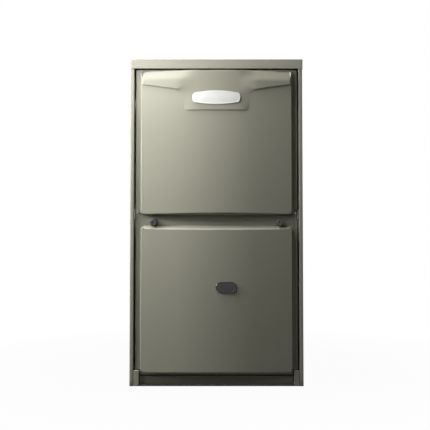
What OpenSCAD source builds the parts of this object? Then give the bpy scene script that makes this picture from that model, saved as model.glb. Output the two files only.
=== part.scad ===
// Upflow condensing forced air gas furnace, 17-1/2 inch cabinet.
// Millimetres. X runs across the cabinet, Y from front to back, Z up.
// The origin is under the middle of the overall box, at floor level.

/* [Cabinet] */
// Width over the two side panels
cabinet_w = 443; // [410:1:640]
// Depth from the front flanges to the back of the side panels
cabinet_d = 730; // [715:1:800]
// Height from the floor to the top of the cap
cabinet_h = 838; // [780:1:920]
// Thickness of the cabinet and door sheet
sheet_t = 1.2; // [0.8:0.1:1.6]
// Width of the front flange down each side panel
flange_w = 10.4; // [8:0.1:10.6]
// Depth of the return behind each front flange
flange_return = 12; // [10:0.5:12.5]
// Width of the rear flange down each side panel
rear_flange_w = 14; // [8:1:30]
// Height of the lip round the top cap
cap_lip_h = 24; // [18:0.5:25]
// Width of the rim round the supply air opening
supply_rim = 22; // [18:1:40]
// Height of the turned-down hem round the supply air opening
supply_hem = 9; // [6:1:12]
// Radius of the cap screw heads
cap_screw_r = 3.2; // [2.5:0.1:4]
// Height of the cap screw heads
cap_screw_h = 2; // [1.5:0.1:3]
// Distance from the cap's edges to its screws
cap_screw_inset = 10; // [8:0.5:12]
// Radius of the cap screws' shanks
screw_shank_r = 1.8; // [1.2:0.1:2.2]
// Length of the cap screws' shanks below the cap
screw_l = 8; // [6:0.5:14]
// Radius of the wiring hole in the side panels
wire_hole_r = 11.1; // [10:0.1:14]
// Distance from the front flanges to the wiring hole
wire_hole_d = 150; // [130:1:180]
// Distance from the deck down to the wiring hole
wire_hole_drop = 75; // [50:1:120]
// Radius of the drain hole in the side panels
drain_hole_r = 15; // [12:0.5:16]
// How far cap and panel edges stand inside each other's bends
lap = 6; // [4:0.5:8]

/* [Base] */
// Width of the base pan's rim in front of the return air opening
return_front_rim = 90; // [60:5:120]
// Width of the base pan's rim at the sides and back
return_rim = 34; // [25:1:60]
// Height of the flanges round the base pan
pan_flange_h = 15; // [8:1:20]
// Height of each corner foot
foot_h = 40; // [30:0.5:44]
// Width of each corner foot
foot_w = 13.8; // [10:0.2:15]
// Depth of each corner foot
foot_d = 34; // [20:1:50]
// How far the top of a corner foot reaches in behind the door
foot_lap = 4; // [2:0.5:5]
// How far the base rail stands behind the front flanges
rail_recess = 13; // [11:0.5:20]
// Height of the base rail's top edge
rail_h = 25; // [18:0.5:27]
// Depth of the base rail's top flange
rail_d = 16; // [10:1:25]

/* [Doors] */
// How far the door flanges stand behind the front flanges
door_recess = 7; // [5:0.5:8]
// Side gap between a door and the front flanges
door_gap = 3.1; // [2.5:0.1:4]
// How far a door's raised panel stands proud of the front flanges at its edges
panel_edge_proud = 3; // [1:0.5:5]
// Extra height of the raised panel at the middle of the door
panel_bow = 12; // [8:0.5:15]
// Distance from the cabinet's sides to the raised panels
panel_margin = 29.5; // [28.5:0.5:41.5]
// Corner radius of the raised panels
panel_corner_r = 9; // [5:0.5:14]
// Distance from the top of the cap down to the seam between the doors
seam_drop = 399; // [380:1:405]
// How far the upper door's raised panel reaches below the seam
panel_drop = 4.3; // [3:0.1:5]
// Height from the lower door's raised panel to the seam
knob_band_h = 40; // [38:1:44]
// Gap between the upper panel's hanging edge and the lower door's flange
hang_gap = 0.4; // [0.3:0.1:1]
// Gap between a door's edges and what it stands next to
door_clear = 1.5; // [1:0.1:2]
// Height of the upper door's top edge below the bottom of the cap's lip
top_gap = 2; // [1:0.5:4]
// Height from the bottom of the cap's lip to the upper raised panel
panel_top_drop = 6; // [4:0.5:10]
// Height of the lower door's bottom edge
lower_door_z = 28; // [27.5:0.5:30]
// Height of the lower door's raised panel above its bottom edge
lower_panel_rise = 7; // [5:0.5:10]
// Depth of the returns behind the doors' edges
door_return = 5; // [4:0.5:7]

/* [Emboss] */
// Height of the T shaped emboss over the upper raised panel
emboss_h = 3; // [2:0.5:5]
// Width of the T's stem at its foot
stem_foot_w = 156; // [130:1:165]
// Width of the T's stem where the wings meet it
stem_top_w = 193; // [180:1:210]
// Height of the T's stem, from its foot to the top of the raised panel
stem_h = 104.5; // [90:0.5:120]
// Height of the wings where they meet the stem
wing_inner_h = 52; // [45:0.5:60]
// Height of the wings at their outer ends
wing_outer_h = 36.5; // [30:0.5:44]
// Distance from the raised panel's edges to the wings
wing_inset = 4; // [3:0.5:8]

/* [Badge] */
// Width of the badge plate
badge_w = 123; // [100:1:140]
// Height of the badge plate
badge_h = 35; // [25:0.5:40]
// Thickness of the badge plate
badge_t = 2; // [1:0.1:3]
// Radius of the badge's bowed long edges
badge_arc_r = 700; // [400:10:1200]
// Distance from the top of the raised panel to the middle of the badge
badge_drop = 73; // [60:0.5:75]

/* [Sight glass] */
// Width of the sight glass
sight_w = 54; // [40:1:60]
// Height of the sight glass
sight_h = 28; // [20:0.5:32]
// How far the sight glass stands out of the lower door
sight_proud = 3.5; // [2:0.5:5]
// Distance of the sight glass to the right of the middle
sight_x = 24.7; // [20:0.1:40]
// Distance from the seam down to the middle of the sight glass
sight_drop = 188; // [170:1:205]
// Length of the sight glass's neck behind the door
sight_neck = 5; // [3:0.5:8]
// Clearance of the sight glass on and in the door
sight_bed = 0.05; // [0.05:0.05:0.3]
// How far the hole in the door is smaller than the sight glass, all round
sight_lip = 3; // [2:0.5:4]

/* [Latch knobs] */
// Radius of a knob's face
knob_r = 8.8; // [7:0.1:10]
// Radius of a knob's skirt
knob_skirt_r = 10; // [8:0.1:11]
// Gap between a knob and the face that it turns on
knob_gap = 0.3; // [0.2:0.1:0.5]
// Radius and depth of the dimple in a knob's face
dimple = [2.2, 1.5];
// Height of a knob
knob_h = 13; // [10:0.5:16]
// Radius of the steel stud through a knob
stud_r = 3; // [2.5:0.1:3.5]
// Radial clearance of the stud in the door
stud_clear = 0.4; // [0.3:0.1:0.5]
// Length of the stud's cross bar
bar_l = 15; // [12:0.5:18]
// Width of the stud's cross bar
bar_w = 4.6; // [4:0.1:5]
// Thickness of the stud's cross bar
bar_t = 2.5; // [2:0.1:4]
// Gap between the cross bar and the deck's front flange
bar_gap = 0.6; // [0.3:0.1:1.5]
// Clearance round the stud and its cross bar in their slot
bar_clear = 0.8; // [0.5:0.1:1.5]
// Distance from the raised panels' sides to the knobs
knob_inset = 30.6; // [22.1:0.5:42.1]
// Distance from the seam down to the knobs
knob_drop = 23; // [21:0.5:25]

/* [Deck and vestibule] */
// Height of the deck's front flange
deck_flange_h = 38; // [30:1:40]
// Gap between the door flanges and the deck's front flange
deck_gap = 0.5; // [0.3:0.1:1]
// Depth of the heating compartment, from the front flanges to the vestibule panel
vestibule_d = 190; // [185:1:200]
// Thickness of the foil-faced insulation
liner_t = 8; // [5:0.5:12]
// Width of each door rest tab
tab_w = 3.5; // [3:0.1:5]
// Height of each door rest tab
tab_h = 25; // [20:0.5:30]
// How far a door rest tab reaches above the seam
tab_rise = 11.5; // [9:0.5:13]
// How far a door rest tab stands behind the front flanges
tab_set = 1; // [0.5:0.1:2]
// Gap between a door rest tab and the doors
tab_clear = 0.3; // [0.3:0.1:0.6]

/* [Burners and gas train] */
// Number of burners and heat exchanger sections
section_count = 3; // [3]
// Distance between the burners
section_pitch = 100; // [92:1:104]
// Height of the burners above the deck
burner_rise = 290; // [285:1:292]
// Distance from the side panels to the burner box
burner_box_side = 75.3; // [73.3:1:80.3]
// Height of the burner box
burner_box_h = 90; // [80:1:92]
// Depth of the burner box
burner_box_d = 110; // [104:1:112]
// Length of a burner
burner_l = 72; // [60:1:76]
// Radius of a burner's flame head
burner_head_r = 17; // [14:0.5:19]
// Radius of a burner's throat
burner_throat_r = 11; // [9:0.5:12]
// Radial clearance of a burner in its rack
rack_clear = 0.2; // [0.1:0.1:0.5]
// Wall of a burner
burner_wall = 1.5; // [1:0.1:2]
// Gap between the burners and the vestibule panel
flame_gap = 24; // [20:1:28]
// Radius of the ports in the vestibule panel
port_r = 20; // [16:0.5:22]
// Thickness of the manifold's closed end
cap_wall = 4; // [3:0.5:8]
// Outside radius of the gas manifold
manifold_r = 10.6; // [9:0.1:12]
// Width of the manifold's brackets
bracket_w = 16; // [10:1:24]
// Thickness of the manifold's brackets
bracket_t = 1.5; // [1:0.1:3]
// How far the manifold reaches past the last burner
manifold_end = 24; // [14:1:34]
// Wall of the gas manifold
manifold_wall = 2.6; // [2:0.1:3]
// Distance from the burner box's front to the manifold's middle
manifold_gap = 20; // [18:0.5:24]
// Radius of the brass orifice spuds
orifice_r = 6; // [5:0.1:7]
// Length of the spuds out of the manifold
orifice_l = 16; // [14:0.5:20]
// Width of the gas valve
valve_w = 58; // [50:1:62]
// Height of the gas valve
valve_h = 84; // [70:1:95]
// Depth of the gas valve
valve_d = 56; // [46:1:58]
// Gap between the gas valve and the left side panel
valve_gap = 9; // [7:0.5:12]
// How far the valve's middle stands out from its sides, top and bottom
valve_step = 6; // [4:0.5:10]
// Depth of the valve's raised front
valve_front = 8; // [5:0.5:12]
// Wall of the gas inlet's union
union_wall = 5; // [3:0.5:5]
// Radius and length of the pressure port under the valve
valve_port = [13, 12];
// Radius of the gas inlet's thread
gas_thread_r = 10.2; // [9.5:0.1:11]
// Depth of the gas inlet's thread
gas_thread_l = 15; // [12:0.5:18]
// Radius of the gas pipe hole in the side panels
gas_hole_r = 22; // [18:0.5:26]
// Radius of the gas valve's switch knob
valve_knob_r = 12; // [9:0.5:14]
// Radius of the switch knob's shaft
switch_shaft_r = 3; // [2:0.1:4]
// Length of the switch knob's shaft in the valve
switch_shaft_l = 6; // [4:0.5:7]
// Thickness of the switch knob's grip
grip_t = 5; // [3:0.5:7]
// Height of the gas valve's switch knob
valve_knob_h = 9; // [6:0.5:11]

/* [Heat exchanger] */
// Thickness of a heat exchanger section
hx_t = 34; // [28:1:38]
// Height of each gas pass
pass_h = 48; // [40:1:50]
// Distance between the passes
pass_pitch = 78; // [74:1:80]
// Wall of the heat exchanger
hx_wall = 2; // [1.5:0.1:2.5]
// Thickness of the web between the passes
web_t = 3; // [2:0.5:5]
// How far the web stands out round the passes
web_rim = 8; // [5:0.5:10]
// Gap between the turns and the heat exchanger's ends
turn_gap = 12; // [6:1:18]
// Depth of the heat exchanger
hx_d = 400; // [360:5:420]
// Half of the condensing coil's width
coil_half = 150; // [140:1:156]
// Height of the condensing coil
coil_h = 72; // [60:1:74]
// Distance from the deck to the condensing coil
coil_rise = 14; // [12:1:20]
// Number of fins on the condensing coil
fin_count = 28; // [20:1:36]
// Thickness of a fin
fin_t = 1.2; // [0.8:0.1:2]
// Number of tubes in each row of the condensing coil
tube_count = 7; // [5:1:9]
// Wall of the coil's tubes
tube_wall = 1; // [0.8:0.1:2]
// Heights of the tube rows, as shares of the coil's height
tube_rows = [0.27, 0.73];
// Thickness of the coil's side plates
coil_plate_t = 2; // [1:0.5:4]
// How far the collector reaches above the lowest passes
collector_rim = 6; // [3:0.5:10]
// Outside radius of the coil's tubes
tube_r = 8; // [6:0.5:9]
// Depth of the rear collector box
collector_d = 42; // [30:1:60]

/* [Inducer and vent] */
// Distance from the right side panel to the inducer's middle
inducer_side = 112.3; // [110.3:1:116.3]
// Height of the inducer above the deck
inducer_rise = 90; // [88:1:100]
// Radius of the inducer's scroll
inducer_r = 76; // [70:1:80]
// Depth of the inducer's scroll
inducer_d = 58; // [50:1:60]
// Wall of the inducer's housing
inducer_wall = 3; // [2.5:0.1:3.5]
// Radius of the inducer's wheel
inducer_wheel_r = 54; // [48:1:58]
// Width of the inducer's wheel
inducer_wheel_w = 26; // [20:1:34]
// Gap between the inducer's wheel and its housing
wheel_gap = 5; // [3:0.5:8]
// Number of blades on the inducer's wheel
inducer_blades = 12; // [8:1:16]
// Thickness of the inducer wheel's discs and blades
disc_t = 2; // [1.5:0.1:3]
// How far the blades reach into the inducer wheel's inlet
blade_run = 6; // [3:0.5:8]
// Lean of the inducer wheel's blades
blade_lean = 35; // [20:1:45]
// Radius of the inducer's shaft
inducer_shaft_r = 4; // [3:0.1:5]
// Gap round the inducer's shaft in its housing
shaft_room = 1.5; // [1:0.5:3]
// Length, radius and gap of the cooling fan in front of the inducer's motor
fan = [6, 22, 1];
// Number, thickness, width and tilt of the fan's blades
fan_blade = [6, 1.5, 8, 30];
// Length of the motor's bare nose and of its mounting studs
motor_nose = 8; // [6:0.5:10]
motor_stud_l = 10; // [8:0.5:12]
// Radius of the motor's mounting studs
motor_stud_r = 3; // [2:0.5:4]
// Radius of the inducer's motor
inducer_motor_r = 40; // [34:1:44]
// Length of the inducer's motor
inducer_motor_l = 44; // [36:1:48]
// Length of the inducer's round outlet
outlet_l = 24; // [16:1:40]
// Reach, width and depth of the lugs round the inducer
lug = [9, 14, 6];
// Outside radius of the vent and intake pipes
vent_r = 30.15; // [28:0.05:31]
// Wall of the vent and intake pipes
vent_wall = 4; // [3:0.1:5]
// Radial clearance of a pipe in its socket
socket_clear = 0.15; // [0.1:0.05:0.2]
// Wall of the pipe sockets
socket_wall = 4.5; // [3.5:0.1:5]
// Length of the pipe sockets
socket_l = 38; // [30:1:40]
// Thickness of the step at the bottom of a socket
socket_base = 4; // [3:0.5:6]
// Clearance round the sockets in the cap
socket_gap = 0.4; // [0.3:0.1:0.8]
// Distance from the right side panel to the vent socket's middle
vent_side = 40.3; // [39.3:0.5:42.3]
// Distance of the intake socket to the left of the middle
intake_x = 70; // [40:1:100]
// Wall of the cold end header
header_wall = 3; // [2:0.5:4]
// Height of the header's drain above its bottom
header_drain = 18; // [14:1:24]
// Distance from the header's top to the inducer's inlet
header_rim = 8; // [5:0.5:10]
// Distance of the header's hose tap to the left of the middle
header_tap_x = 60; // [40:1:80]
// Distance from the header's top down to its hose tap
header_tap_drop = 20; // [16:1:26]
// How far the header's ends stand inside the coil's
header_inset = 10; // [6:1:14]
// Depth of the cold end header
header_d = 45; // [38:1:46]

/* [Controls in the heating compartment] */
// Depth of the condensate trap
trap_depth = 36; // [30:1:38]
// Gap between the trap and the vestibule panel, and the height of its strap
trap_gap = 4; // [3:0.5:5]
// How far the trap's front stands out
trap_lid = 2; // [1:0.5:3]
// Gap between the trap and the left side panel
trap_side = 12; // [10:0.5:14]
// Gap between the trap and the cold end header
trap_reach = 14; // [10:1:18]
// Outside radius of the drain
drain_r = 9.5; // [8:0.5:11]
// Radius of the drain's bore
drain_bore = 6; // [5:0.5:7]
// Height of the drain above the condensing coil's bottom
drain_rise = 4; // [2:0.5:6]
// Radius of the pressure switch
pressure_r = 34; // [28:1:38]
// Thickness of the pressure switch
pressure_t = 26; // [18:1:32]
// Gap between the cold end header and the pressure switch above it
pressure_rise = 34; // [24:1:36]
// Depth, width and height of the pressure switch's bracket
pressure_plate = [6, 47.6, 40];
// Radius and length of the pressure switch's hose tap
tap_r = 2.4; // [2:0.1:2.5]
tap_l = 14; // [10:1:18]
// How far the hose covers its tap
hose_lap = 6; // [4:0.5:8]
// Outside radius of the pressure switch's hose
hose_r = 4; // [3.5:0.1:5]
// Wall of the pressure switch's hose
hose_wall = 1.5; // [1:0.1:2]
// Bend radius of the pressure switch's hose
hose_bend = 12; // [8:0.5:14]
// Distance of the rollout switch to the right of the middle
rollout_x = 60; // [45:1:75]
// Width of the rollout switch's plate
rollout_plate = 36; // [28:1:44]
// Thickness, width and height of the igniter's bracket
igniter_plate = [1.5, 18, 28];
// Length, width and height of the igniter's ceramic body
igniter_body = [12.5, 10, 16];
// Length, width and height of the igniter's element; its length follows the burners
igniter_element = [0, 3, 8];
// Distance from the outer burners' middles to the igniter and the flame sensor
igniter_reach = 2; // [1:0.5:4]
// Thickness, width and height of the flame sensor's bracket
sensor_plate = [1.5, 16, 24];
// Radius and length of the flame sensor's bush
sensor_bush = [4.5, 16.5];
// Radius of the flame sensor's rod
sensor_rod_r = 1.6; // [1:0.1:2.5]
// Radius of the rollout switch
rollout_r = 9; // [7:0.5:11]
// Height of the rollout switch
rollout_h = 10; // [8:0.5:12]
// Radius of the rollout switch's reset button
reset_r = 2.2; // [1.8:0.1:2.6]
// Height of the reset button
reset_h = 3; // [2.5:0.1:4]
// Travel of the reset button
reset_travel = 1.5; // [1:0.1:2]

/* [Blower] */
// Radius of the blower wheel
wheel_r = 127; // [115:1:130]
// Width of the blower wheel
wheel_w = 200; // [180:1:206]
// Number of blades on the blower wheel
wheel_blades = 40; // [30:1:48]
// Radial depth of the blades
blade_d = 17; // [14:0.5:20]
// Thickness of the blades
blade_t = 1.6; // [1.2:0.1:2]
// Width of the blower housing
housing_w = 228; // [222:1:240]
// Radius of the scroll where it starts
scroll_start_r = 145; // [142:1:150]
// Radius of the scroll where it meets the outlet
scroll_end_r = 205; // [195:1:215]
// Distance from the front flanges to the blower's axis
blower_y = 440; // [435:1:460]
// Height of the blower's axis
blower_z = 202; // [198:1:210]
// Thickness of the blower housing's sides
plate_t = 2; // [1:0.5:3]
// How far the housing's sides and inlet rings stand out
plate_rim = 3; // [2:0.5:5]
// Wall of the inlet rings
inlet_wall = 2; // [1.5:0.5:3]
// How far the inlet rings flare out
inlet_flare = 12; // [9:0.5:16]
// Radius of the blower's inlets
inlet_r = 108; // [95:1:110]
// Radius of the blower's shaft
shaft_r = 6.35; // [5:0.05:8]
// How far the blower's shaft reaches out of the motor
shaft_out = 14; // [10:1:20]
// Wall of the wheels' hubs
hub_wall = 10; // [7:0.5:14]
// Limits of the blower wheel's hub to the right of the middle
hub_x = [-4, 28];
// Distance of the blower wheel's disc to the right of the middle
web_x = 6; // [0:1:20]
// Width of the blower wheel's end rings
ring_w = 5; // [3:0.5:8]
// Lean of the blower wheel's blades
wheel_lean = 28; // [20:1:35]
// Running clearance of the shafts
shaft_clear = 0.05; // [0.03:0.01:0.08]
// Radius of the blower motor
motor_r = 68; // [55:1:72]
// How far the blower motor stands out of the wheel
motor_out = 52; // [44:1:56]
// Length of the blower motor's end bells
bell_l = 8; // [5:0.5:12]
// Length of the bearing bosses on the motor's ends
boss_l = 5; // [3:0.5:8]
// Width of the band round the motor
band_w = 12; // [8:1:18]
// Gap between the band and the blower housing
band_gap = 4; // [3:0.5:8]
// Thickness of the band round the motor
band_t = 2; // [1.5:0.5:4]
// Width and thickness of the motor's three arms
arm = [14, 6];
// Length of the blower motor
motor_l = 120; // [100:1:125]
// Radius of the run capacitor
capacitor_r = 24; // [18:1:30]
// Distance from the scroll's outlet wall to the run capacitor
capacitor_set = 30; // [20:1:40]
// Distance from the deck down to the run capacitor
capacitor_drop = 14; // [12:1:20]
// Width of the run capacitor's strap
strap_w = 12; // [8:1:16]
// Width, thickness and height of the run capacitor's blades
capacitor_blade = [6, 2, 10];
// Length of the run capacitor
capacitor_l = 72; // [50:1:90]

/* [Control box] */
// Distance from the front flanges to the back of the control tray
tray_y = 86; // [80:1:100]
// Width of the control tray
tray_w = 270; // [250:1:290]
// Height of the control tray
tray_h = 272; // [262:1:290]
// Depth of the control tray's flanges
tray_flange = 18; // [12:1:22]
// Width of the control board
board_w = 150; // [130:1:160]
// Height of the control board
board_h = 130; // [110:1:140]
// Thickness of the control board
board_t = 1.6; // [1.2:0.1:2]
// Height of the board's standoffs
standoff_h = 10; // [6:0.5:14]
// Distance of the control board's middle to the right of the sight glass
board_shift = 10; // [8:1:14]
// Height of the control board's middle above the sight glass
board_rise = 4; // [2:1:8]
// Radius of the board's standoffs
standoff_r = 3; // [2:0.5:4]
// Distance from the board's edges to its standoffs
standoff_inset = 8; // [6:0.5:10]
// Width, depth and height of a relay
relay = [26, 16, 28];
// Distance from the board's top down to the bottom of the relays
relay_drop = 40; // [36:1:44]
// Width, depth and height of the terminal row
terminals = [118, 11, 14];
// Width, depth and height of the display
display = [28, 9, 18];
// Width, depth and height of a fuse
fuse = [6, 8, 12];
// Distance from the tray's side to the transformer
tray_inset = 8; // [7:0.5:14]
// Distance from the tray's bottom to the transformer
transformer_rise = 30; // [22:1:34]
// Width of the transformer
transformer_w = 56; // [46:1:64]
// Radius of the wiring loom
loom_r = 5; // [3.5:0.5:6]
// Bend radius of the wiring loom
loom_bend = 12; // [8:0.5:14]
// Distance from the front flanges to the wiring loom
loom_front = 33; // [30:0.5:36]
// Width, depth and height of the door switch
switch_body = [28, 26, 24];
// Distance from the deck down to the door switch
switch_drop = 8.8; // [5.8:0.5:10.8]
// How far the door switch's ears stand out
switch_ear = 5; // [3:0.5:8]
// Width, length and thickness of the door switch's blades
switch_blade = [5, 8, 1];
// Length of the door switch's plunger inside it
plunger_l = 12; // [8:0.5:16]
// Gap round the wiring loom in the deck
loom_clear = 0.3; // [0.2:0.1:1]
// How far the wiring loom hangs below the gas valve before it turns
loom_drop = 40; // [30:1:50]
// Travel of the door switch's plunger
plunger_travel = 3; // [2:0.5:3.5]
// Radius of the door switch's plunger
plunger_r = 3; // [2:0.1:3.5]
// Radial clearance of the plunger
plunger_clear = 0.2; // [0.1:0.05:0.4]

/* [Hidden] */
$fn = 64;
eps = 0.01;
// How far a cutter reaches past what it cuts, and a blank past what trims it
over = 1;
reach = 20;

// Cabinet planes
half_w = cabinet_w / 2;
seam_z = cabinet_h - seam_drop;
inner_half = half_w - sheet_t;
panel_proud = panel_edge_proud + panel_bow;
front_reach = panel_proud + emboss_h + badge_t;
front_y = (front_reach - cabinet_d - sheet_t) / 2;
back_y = front_y + cabinet_d;
top_z = cabinet_h - sheet_t;
lip_z = cabinet_h - cap_lip_h;
opening_half = half_w - flange_w;
rear_inner_y = back_y - 2 * sheet_t;
pan_front_y = front_y + rail_recess;

// Door planes
door_y = front_y + door_recess;
door_back_y = door_y + sheet_t;
door_half = opening_half - door_gap;
panel_half = half_w - panel_margin;
bow_r = (panel_half * panel_half + panel_bow * panel_bow) / (2 * panel_bow);
panel_face_y = front_y - panel_proud;
bow_axis_y = panel_face_y + bow_r;
foot_inner = opening_half - foot_w;
foot_top_z = foot_h;
upper_panel_z = [seam_z - panel_drop, lip_z - panel_top_drop];
lower_panel_z = [lower_door_z + lower_panel_rise, seam_z - knob_band_h];
upper_door_z = [seam_z + tab_clear * 3, lip_z - top_gap];
lower_top_z = upper_panel_z[0] - door_clear;
ear_top_z = seam_z - door_clear;
knob_z = seam_z - knob_drop;
knob_x = panel_half - knob_inset;
sight_z = seam_z - sight_drop;
tab_z = [seam_z + tab_rise - tab_h, seam_z + tab_rise];
tab_inner = opening_half - tab_w;
notch_half = tab_inner - door_gap;
badge_z = upper_panel_z[1] - badge_drop;

// Deck and vestibule planes
deck_z = seam_z;
deck_under_z = deck_z - sheet_t;
deck_lip_y = door_back_y + deck_gap;
deck_lip_half = opening_half - tab_clear;
vestibule_y = front_y + vestibule_d;
hot_y = vestibule_y + sheet_t;
liner_half = inner_half - liner_t;

// Burner planes
burner_z = deck_z + burner_rise;
burner_x = [for (i = [0:section_count - 1]) (i - (section_count - 1) / 2) * section_pitch];
burner_box_half = inner_half - burner_box_side;
burner_box_y = vestibule_y - burner_box_d;
burner_box_z = [burner_z - burner_box_h / 2, burner_z + burner_box_h / 2];
burner_y = [vestibule_y - flame_gap - burner_l, vestibule_y - flame_gap];
rack_y = burner_y[0] + burner_l * 0.45;
manifold_y = burner_box_y - manifold_gap;
valve_x = [-inner_half + valve_gap, -inner_half + valve_gap + valve_w];
valve_y = manifold_y - valve_d / 2;
valve_knob_x = (valve_x[0] + valve_x[1]) / 2;
valve_knob_z = burner_z + valve_h / 4;
manifold_end_x = burner_x[section_count - 1] + manifold_end;
spud_seat = manifold_r - manifold_wall / 2;

// Heat exchanger planes
pass_z = [for (i = [0:2]) burner_z - i * pass_pitch];
turn_r = (pass_pitch + pass_h) / 2;
coil_z = [deck_z + coil_rise, deck_z + coil_rise + coil_h];
collector_y = [hot_y + hx_d, hot_y + hx_d + collector_d];

// Inducer and vent planes
inducer_x = inner_half - inducer_side;
vent_x = inner_half - vent_side;
inducer_z = deck_z + inducer_rise;
header_y = vestibule_y - header_d;
header_half = coil_half - header_inset;
inducer_y = header_y - inducer_d;
inducer_motor_y = inducer_y - inducer_motor_l;
inducer_inlet_r = inducer_wheel_r * 0.6;
inducer_wheel_y = inducer_y + inducer_wall + wheel_gap;
vent_y = inducer_y + inducer_d / 2;
socket_r = vent_r + socket_clear + socket_wall;
socket_z = cabinet_h - socket_l;
intake_y = vestibule_y - burner_box_d / 2;
elbow_z = inducer_z + inducer_r;

// Blower planes
blower_axis_y = front_y + blower_y;
housing_half = housing_w / 2;
scroll_from = 120;
scroll_to = 360;
scroll_steps = 32;
outlet_y = [blower_axis_y + scroll_start_r * cos(scroll_from), blower_axis_y + scroll_end_r];
motor_x = [-wheel_w / 2 - motor_out, -wheel_w / 2 - motor_out + motor_l];
blade_in_r = wheel_r - blade_d;
hub_r = shaft_r + hub_wall;

// Control planes
tray_face_y = front_y + tray_y;
tray_x = [sight_x - tray_w / 2, sight_x + tray_w / 2];
tray_z = [deck_under_z - tray_h, deck_under_z];
board_y = tray_face_y - standoff_h - board_t;
board_x = sight_x + board_shift;
board_z = sight_z + board_rise;
switch_y = [deck_lip_y + sheet_t, deck_lip_y + sheet_t + switch_body[1]];
switch_z = [deck_under_z - switch_drop - switch_body[2], deck_under_z - switch_drop];
switch_mid = (switch_z[0] + switch_z[1]) / 2;
loom_x = valve_knob_x;
loom_y = front_y + loom_front;

// ---- Shared shapes ----

// A box given by its limits along each axis.
module block(x, y, z) {
    translate([x[0], y[0], z[0]]) cube([x[1] - x[0], y[1] - y[0], z[1] - z[0]]);
}

// Round bars along each axis, from one limit to the other.
module rod_x(r, x, y, z) {
    translate([x[0], y, z]) rotate([0, 90, 0]) cylinder(r = r, h = x[1] - x[0]);
}

module rod_y(r, x, y, z) {
    translate([x, y[0], z]) rotate([-90, 0, 0]) cylinder(r = r, h = y[1] - y[0]);
}

module rod_z(r, x, y, z) {
    translate([x, y, z[0]]) cylinder(r = r, h = z[1] - z[0]);
}

// Stands a drawing of X and Z upright, from y[0] to y[1].
module upright(y) {
    translate([0, y[1], 0]) rotate([90, 0, 0]) linear_extrude(y[1] - y[0]) children();
}

// Turns a drawing of Y and Z to face along X, from x[0] to x[1].
module sideways(x) {
    translate([x[0], 0, 0]) rotate([90, 0, 90]) linear_extrude(x[1] - x[0]) children();
}

// A rectangle with round corners, given by its limits.
module rounded(x, z, r) {
    union() {
        translate([x[0] + r, z[0]]) square([x[1] - x[0] - 2 * r, z[1] - z[0]]);
        translate([x[0], z[0] + r]) square([x[1] - x[0], z[1] - z[0] - 2 * r]);
        for (cx = [x[0] + r, x[1] - r], cz = [z[0] + r, z[1] - r])
            translate([cx, cz]) circle(r);
    }
}

// A bar with round ends.
module stadium(w, h) {
    union() {
        square([w - h, h], center = true);
        for (s = [-1, 1]) translate([s * (w - h) / 2, 0]) circle(h / 2);
    }
}

function unit(v) = v / norm(v);

// How much of each side a bend of radius b takes at point i of a route.
function bend_cut(p, i, b) =
    i == 0 || i == len(p) - 1 ? 0
    : b * tan(acos(unit(p[i] - p[i - 1]) * unit(p[i + 1] - p[i])) / 2);

// A tube along a list of points, with a round bend at each corner. bore is 0 for a solid one.
module tube_route(p, r, bore, b) {
    union() {
        for (i = [0:len(p) - 2]) {
            d = unit(p[i + 1] - p[i]);
            a = p[i] + d * bend_cut(p, i, b);
            l = norm(p[i + 1] - p[i]) - bend_cut(p, i, b) - bend_cut(p, i + 1, b);
            side = abs(d[2]) > 0.9 ? [1, 0, 0] : unit(cross([0, 0, 1], d));
            place(a, side, cross(d, side), d) linear_extrude(l) ring(r, bore);
        }
        for (i = [1:len(p) - 2]) {
            d = unit(p[i] - p[i - 1]);
            e = unit(p[i + 1] - p[i]);
            inward = unit(e - d * (e * d));
            centre = p[i] - d * bend_cut(p, i, b) + inward * b;
            place(centre, -inward, d, cross(-inward, d))
                rotate_extrude(angle = acos(d * e)) translate([b, 0]) ring(r, bore);
        }
    }
}

module ring(r, bore) {
    difference() {
        circle(r);
        if (bore > 0) circle(bore);
    }
}

// Puts a drawing's axes along x, y and z at a point.
module place(point, x, y, z) {
    multmatrix([
        [x[0], y[0], z[0], point[0]],
        [x[1], y[1], z[1], point[1]],
        [x[2], y[2], z[2], point[2]],
        [0, 0, 0, 1]]) children();
}

module pair() {
    children();
    mirror([1, 0, 0]) children();
}

// ---- Cabinet ----

module side_panel_left() {
    difference() {
        union() {
            block([-half_w, -inner_half], [front_y, back_y], [0, top_z]);
            block([-half_w, -opening_half], [front_y, front_y + sheet_t], [0, top_z]);
            block([-opening_half - sheet_t, -opening_half], [front_y, front_y + flange_return],
                  [0, top_z]);
            block([-half_w, -half_w + rear_flange_w], [back_y - sheet_t, back_y], [0, top_z]);
        }
        side_holes();
    }
}

// Gas pipe, drain and wiring holes; both side panels carry the same set.
module side_holes() {
    wall = [-half_w - eps, -inner_half + eps];
    rod_x(gas_hole_r, wall, manifold_y, burner_z);
    rod_x(drain_hole_r, wall, trap_y, drain_z);
    rod_x(wire_hole_r, wall, front_y + wire_hole_d, deck_z - wire_hole_drop);
}

module left_side_panel() { color("#8f8f7f") side_panel_left(); }

module right_side_panel() { color("#8f8f7f") mirror([1, 0, 0]) side_panel_left(); }

module rear_panel() {
    color("#8f8f7f")
    block([-inner_half, inner_half], [rear_inner_y, back_y - sheet_t], [0, top_z]);
}

supply_half = inner_half - supply_rim;
supply_y = [hot_y + lap, rear_inner_y - supply_rim];

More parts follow.
